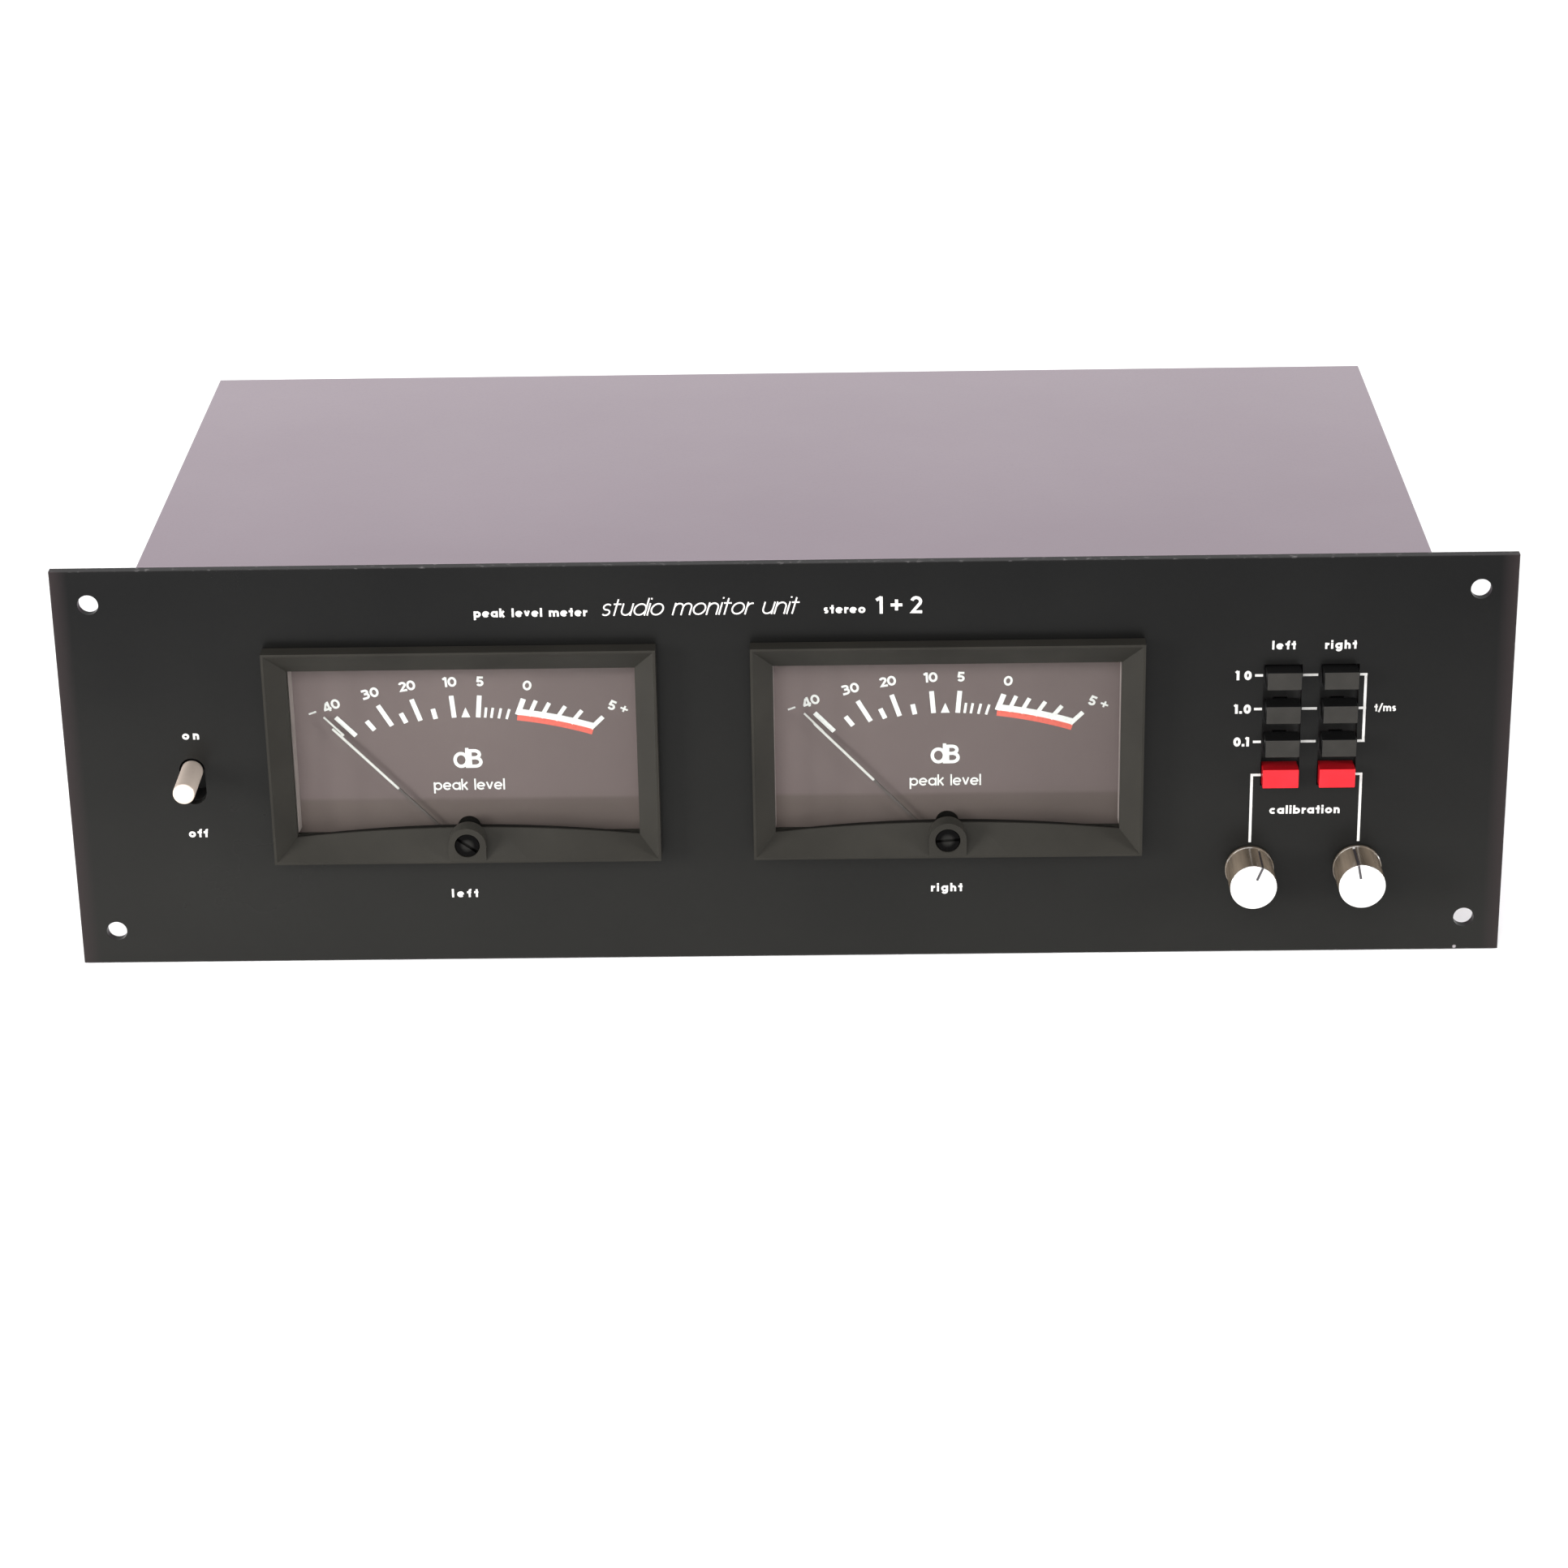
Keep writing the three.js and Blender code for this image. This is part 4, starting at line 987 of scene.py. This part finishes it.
def dial_printing(side):
    centre, foot = METER_X[side] + PRINT_SHIFT[side][0], DATUM_Z + PRINT_SHIFT[side][1]
    white, red = Printing(DIAL_FACE), Printing(DIAL_FACE)

    def placed(x, z):
        return centre + x, foot + z

    for angle, outer, width in TICKS:
        inner = "band" if angle > STANDS_ON_BAND else "inner"
        white.stroke([placed(*along_tick(angle, inner)), placed(*along_tick(angle, outer))], width)
    low = arc_height("inner", 0)
    half, height = TRIANGLE["half"], TRIANGLE["height"]
    white.area([placed(-half, low), placed(half, low), placed(0, low + height)])

    length = BAND["to"] - BAND["from"]
    across = [BAND["from"] + length * i / BAND_STEPS for i in range(BAND_STEPS + 1)]
    rise = BAND["white"] / 2
    white.stroke([placed(x, arc_height("band", x) + rise) for x in across], BAND["white"])
    drop = BAND["red"] / 2
    red.stroke([placed(x + RED_SHIFT, arc_height("band", x) - drop) for x in across], BAND["red"])

    for text, x, z, width, turn in NUMERALS:
        left, base = placed(x - width / 2, z - DIGIT * ASCENDER / 2)
        weight = SIGN_WEIGHT if text in "+-" else DIGIT_WEIGHT
        white.text(text, left, left + width, base, DIGIT, weight, turn, wide=DIGIT_WIDE)
    for text, left, right, base, height, weight, wide in DIAL_WORDS:
        white.text(text, centre + left, centre + right, foot + base, height, weight, wide=wide)
    white.build(f"{side}_dial_marks", WHITE_INK, "chassis", "dial_plate")
    red.build(f"{side}_dial_red_band", RED_INK, "chassis", "dial_plate")


PANE_GAP = 0.3
PANE_LOW, PANE_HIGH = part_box("left_meter_window")
WINDOW = {
    "half": (PANE_HIGH.x - PANE_LOW.x) / 2 / MM + PANE_GAP,
    "low": PANE_LOW.z / MM - PANE_GAP,
    "high": PANE_HIGH.z / MM + PANE_GAP,
    "arch": 3.0,
}
# Painted shadow along the foot of each window: a black strip over the lip, thickest in the middle.
FOOT_SHADOW = {"front": 0.82, "back": 1.06, "side": 0.15, "middle": 0.85, "foot": -0.6, "crown": 0.1}
FOOT_SHADOW_STEPS = 24
END_PLAY = 0.05
REFLECTION_STRIP_DEPTH = (3.4, 7.8)
REFLECTION_STRIP_WIDTH = (0.3, 0.7)
REFLECTION_STRIP_END_GAP = 0.4
SLIM = 0.2  # share of that width, for the painted reflection strips that are barely seen


def window_foot_shadow(side):
    """Painted shadow: a black strip over the lip along the foot of the window, which stands in for the shaded
    gap between the lip and the dial.
    """
    centre = METER_X[side]
    vertices, faces = [], []
    for i in range(FOOT_SHADOW_STEPS + 1):
        t = 2 * i / FOOT_SHADOW_STEPS - 1
        x = centre + t * (WINDOW["half"] - END_PLAY)
        lip = WINDOW["low"] + WINDOW["arch"] * (1 - t * t)
        top = lip + FOOT_SHADOW["side"] + (FOOT_SHADOW["middle"] - FOOT_SHADOW["side"]) * (1 - t * t)
        foot, shoulder = lip + FOOT_SHADOW["foot"], top - FOOT_SHADOW["crown"]
        section = (
            (FOOT_SHADOW["front"], foot),
            (FOOT_SHADOW["front"], shoulder),
            ((FOOT_SHADOW["front"] + FOOT_SHADOW["back"]) / 2, top),
            (FOOT_SHADOW["back"], shoulder),
            (FOOT_SHADOW["back"], foot),
        )
        vertices += [tuple(at(x, y, z)) for y, z in section]
    rim = len(section)
    for i in range(FOOT_SHADOW_STEPS):
        a, b = i * rim, (i + 1) * rim
        for k in range(rim):
            n = (k + 1) % rim
            faces.append((a + k, b + k, b + n, a + n))
    faces.append(tuple(range(rim)))
    faces.append(tuple(FOOT_SHADOW_STEPS * rim + k for k in reversed(range(rim))))
    piece(f"{side}_window_foot_shadow", vertices, faces, RUBBER_AND_SHADOW_BLACK, "chassis")


def window_reflection_strips(side):
    """Painted reflection: grey strips between the glass and the dial, which stand in for the reflection in
    the window's black side walls, broad only at the left of the left meter.
    """
    centre = METER_X[side]
    front, back = REFLECTION_STRIP_DEPTH
    narrow, wide = REFLECTION_STRIP_WIDTH
    for hand, sign in (("left", -1), ("right", 1)):
        edge = centre + sign * WINDOW["half"]
        share = 1 if side == hand == "left" else SLIM
        outline = [
            (edge, front),
            (edge - sign * narrow * share, front),
            (edge - sign * wide * share, back),
            (edge, back),
        ]
        ends = (WINDOW["low"] + REFLECTION_STRIP_END_GAP, WINDOW["high"] - REFLECTION_STRIP_END_GAP)
        vertices = [tuple(at(x, y, z)) for z in ends for x, y in outline]
        faces = [(0, 1, 2, 3), (7, 6, 5, 4)]
        faces += [(i, 4 + i, 4 + (i + 1) % 4, (i + 1) % 4) for i in range(4)]
        if sign < 0:
            faces = [tuple(reversed(f)) for f in faces]
        piece(f"{side}_dial_reflection_strip_{hand}", vertices, faces, REFLECTION_GREY, "chassis")


# ---------------------------------------------------------------- knobs and lever

# Profiles are (radius, y), from the axis at the front to the axis at the back.
KNOB_PROFILE = (
    (0, -16.2),
    (7.55, -16.2),
    (7.7, -16.35),
    (7.88, -16.25),
    (8.0, -15.9),
    (8.0, -2.3),
    (8.1, -2.05),
    (8.33, -1.9),
    (8.35, -1.7),
    (8.35, -0.95),
    (8.2, -0.72),
    (5.9, -0.72),
    (5.9, -2.9),
    (0, -2.9),
)
CAP_PROFILE = (
    (0, -16.86),
    (5.2, -16.88),
    (7.2, -16.95),
    (7.6, -16.98),
    (7.85, -16.86),
    (7.92, -16.6),
    (7.9, -16.42),
    (0, -16.42),
)
LEVER_PROFILE = (
    (0, -20.0),
    (3.2, -20.0),
    (3.5, -19.93),
    (3.66, -19.7),
    (3.7, -19.4),
    (3.7, 0.2),
    (0, 0.2),
)
LEVER_ROOT_PROFILE = (
    (0, 0.2),
    (3.55, 0.2),
    (3.65, 0.3),
    (3.65, 12.8),
    (3.55, 12.9),
    (0, 12.9),
)
KNOB_RADIUS = 8.0
KNOB_REST_DEG = {"left": 22, "right": -10.7}  # clockwise from upright
GROOVE_HALF = 0.42
GROOVE_DEPTH = 0.5
GROOVED = {"radius": 7.4, "back": -2.2}  # the profile is cut where it is wider and further forward
GROOVE_REACH = (-15.8, -2.4)
GROOVE_WALL = 0.008  # radians across each side wall, which is nearly upright
GROOVE_LAND = 0.06  # radians from the groove to the even steps of the rest
GROOVE_FILL = (-0.05, 0.12)  # the paint, below and above the groove's floor
KNOB_STEPS = 90
FACE_STEPS = 96
LEVER_STEPS = 64
MARK_Y = -16.93  # the line printed on the bright face
MARK_REACH = (2.9, 7.86)
MARK_WIDTH = 0.85


def knob(side):
    node = f"{side}_calibration_knob"
    x, _, z = middle(node)
    body = f"{side}_level_control"
    origin = at(x, 0, z)
    rest = math.radians(KNOB_REST_DEG[side])
    wall = GROOVE_HALF / KNOB_RADIUS
    angles = [rest + a for a in (-wall - GROOVE_WALL, -wall, 0, wall, wall + GROOVE_WALL)]
    start, end = wall + GROOVE_LAND, 2 * math.pi - wall - GROOVE_LAND
    angles += [rest + start + (end - start) * i / KNOB_STEPS for i in range(KNOB_STEPS + 1)]

    def groove(radius, y, angle):
        in_groove = abs(angle - rest) <= wall + GROOVE_WALL / 2
        on_side = radius > GROOVED["radius"] and y < GROOVED["back"]
        return radius - GROOVE_DEPTH if in_groove and on_side else radius

    skirt = lathe(f"{side}_knob_body", KNOB_PROFILE, angles, KNOB, body, origin, groove)
    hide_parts(node)
    around = full_turn(FACE_STEPS)
    face = lathe(f"{side}_knob_face", CAP_PROFILE, around, SPUN, body, origin)
    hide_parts(f"{side}_calibration_knob_cap")
    mark = Printing(MARK_Y)
    s, c = math.sin(rest), math.cos(rest)
    mark.stroke([(x + radius * s, z + radius * c) for radius in MARK_REACH], MARK_WIDTH)
    mark.build(f"{side}_knob_mark", DARK_INK, body, "knob_black")
    groove_fill(side, rest, body, origin)


def groove_fill(side, angle, body, origin):
    """The dark paint laid in the groove along the knob's side."""
    turn = Matrix.Rotation(angle, 3, "Y")
    heights = [KNOB_RADIUS - GROOVE_DEPTH + rise for rise in GROOVE_FILL]
    corners = [(x, y, z) for z in heights for y in GROOVE_REACH for x in (-GROOVE_HALF, GROOVE_HALF)]
    vertices = [tuple(turn @ Vector(corner) * MM) for corner in corners]
    faces = [(0, 1, 3, 2), (4, 6, 7, 5), (0, 4, 5, 1), (2, 3, 7, 6), (0, 2, 6, 4), (1, 5, 7, 3)]
    piece(f"{side}_knob_groove_fill", vertices, faces, DARK_INK, body, origin)


def lever():
    x, _, z = middle("power_switch_lever")
    around, body, origin = full_turn(LEVER_STEPS), "power_lever", at(x, 0, z)
    rod = lathe("switch_lever", LEVER_PROFILE, around, LEVER, body, origin)
    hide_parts("power_switch_lever")
    # Painted shade: the lever's root inside the slot is black moulding, standing in for the shade in the
    # slot.
    lathe("switch_lever_root", LEVER_ROOT_PROFILE, around, BLACK, body, origin)


# ---------------------------------------------------------------- rear legends

REAR_FACE = (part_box("rear_panel")[1].y - FRONT) / MM
REAR_WEIGHT = 0.5


def rear_legends():
    words = Printing(REAR_FACE, facing=1)
    for text, centre, width, base in (
        ("mains", -170, 13, 80),
        ("fuse", -120, 10, 73),
        ("left", 110, 8, 73),
        ("right", 150, 10.5, 73),
        ("inputs", 130, 14, 80),
    ):
        # Seen from behind, the reader's right is towards -X.
        words.text(text, -centre - width / 2, -centre + width / 2, base, WORD_HEIGHT, REAR_WEIGHT)
    words.build("rear_legends", DARK_INK, "chassis", "cover_paint")


panel_legends()
for side in SIDES:
    dial_printing(side)
    window_foot_shadow(side)
    window_reflection_strips(side)
    knob(side)
lever()
rear_legends()


# ---------------------------------------------------------------- stage, light and camera


FLOOR_REACH = 9.0
FLOOR_Z = -0.0004  # a hair under the tray, so that the two don't meet in one plane
WHITE_WORLD = 0.74


def floor():
    corners = ((-1, -1), (1, -1), (1, 1), (-1, 1))
    mesh = bpy.data.meshes.new("floor")
    mesh.from_pydata([(x * FLOOR_REACH, y * FLOOR_REACH, FLOOR_Z) for x, y in corners], [], [(0, 1, 2, 3)])
    shader = Shader("pale_floor")
    shader.colour(shader.mixed(shader.ranged(shader.noise(2, 3), 0, 1), (0.88, 0.88, 0.88), (0.9, 0.9, 0.9)))
    shader.set(Roughness=0.8, Specular_IOR_Level=0.2)
    mesh.materials.append(shader.material)
    obj = bpy.data.objects.new("floor", mesh)
    bpy.context.scene.collection.objects.link(obj)


def soft_light(name, place, target, size, power):
    data = bpy.data.lights.new(name, "AREA")
    data.shape = "RECTANGLE"
    data.size, data.size_y = size
    data.energy = power
    obj = bpy.data.objects.new(name, data)
    obj.location = place
    obj.rotation_euler = (Vector(target) - Vector(place)).to_track_quat("-Z", "Y").to_euler()
    bpy.context.scene.collection.objects.link(obj)


floor()
world = bpy.data.worlds.new("studio")
bpy.context.scene.world = world
world.use_nodes = True
background = world.node_tree.nodes["Background"]
background.inputs["Color"].default_value = (1, 1, 1, 1)
background.inputs["Strength"].default_value = WHITE_WORLD
soft_light("key", (-0.5, -2.3, 1.4), (0, 0, 0.05), (2.4, 1.5), 80)
soft_light("left_side", (-1.4, -0.9, 0.35), (0, -0.1, 0.07), (0.5, 0.7), 48)
soft_light("backdrop", (0, 2.4, 2.6), (0, 4.4, 0), (4.0, 1.5), 60)
soft_light("right_side", (1.5, -0.6, 0.35), (0.15, -0.1, 0.05), (0.3, 0.7), 26)
bpy.context.scene.view_settings.view_transform = "Standard"

CAMERA_PLACE = at(21.2, -1262.0, 610.9)
CAMERA_RIGHT = Vector((0.9998, 0.0102, -0.0164)).normalized()
CAMERA_VIEW = Vector((-0.0159, 0.9176, -0.3971)).normalized()
FOCAL_LENGTH = 92.8


def camera():
    data = bpy.data.cameras.new("camera")
    data.sensor_width = 36
    data.lens = FOCAL_LENGTH
    data.clip_end = 50
    obj = bpy.data.objects.new("camera", data)
    up = CAMERA_RIGHT.cross(CAMERA_VIEW).normalized()
    right = CAMERA_VIEW.cross(up)
    turn = Matrix((right, up, -CAMERA_VIEW)).transposed().to_4x4()
    obj.matrix_world = Matrix.Translation(CAMERA_PLACE) @ turn
    bpy.context.scene.collection.objects.link(obj)
    bpy.context.scene.camera = obj


camera()
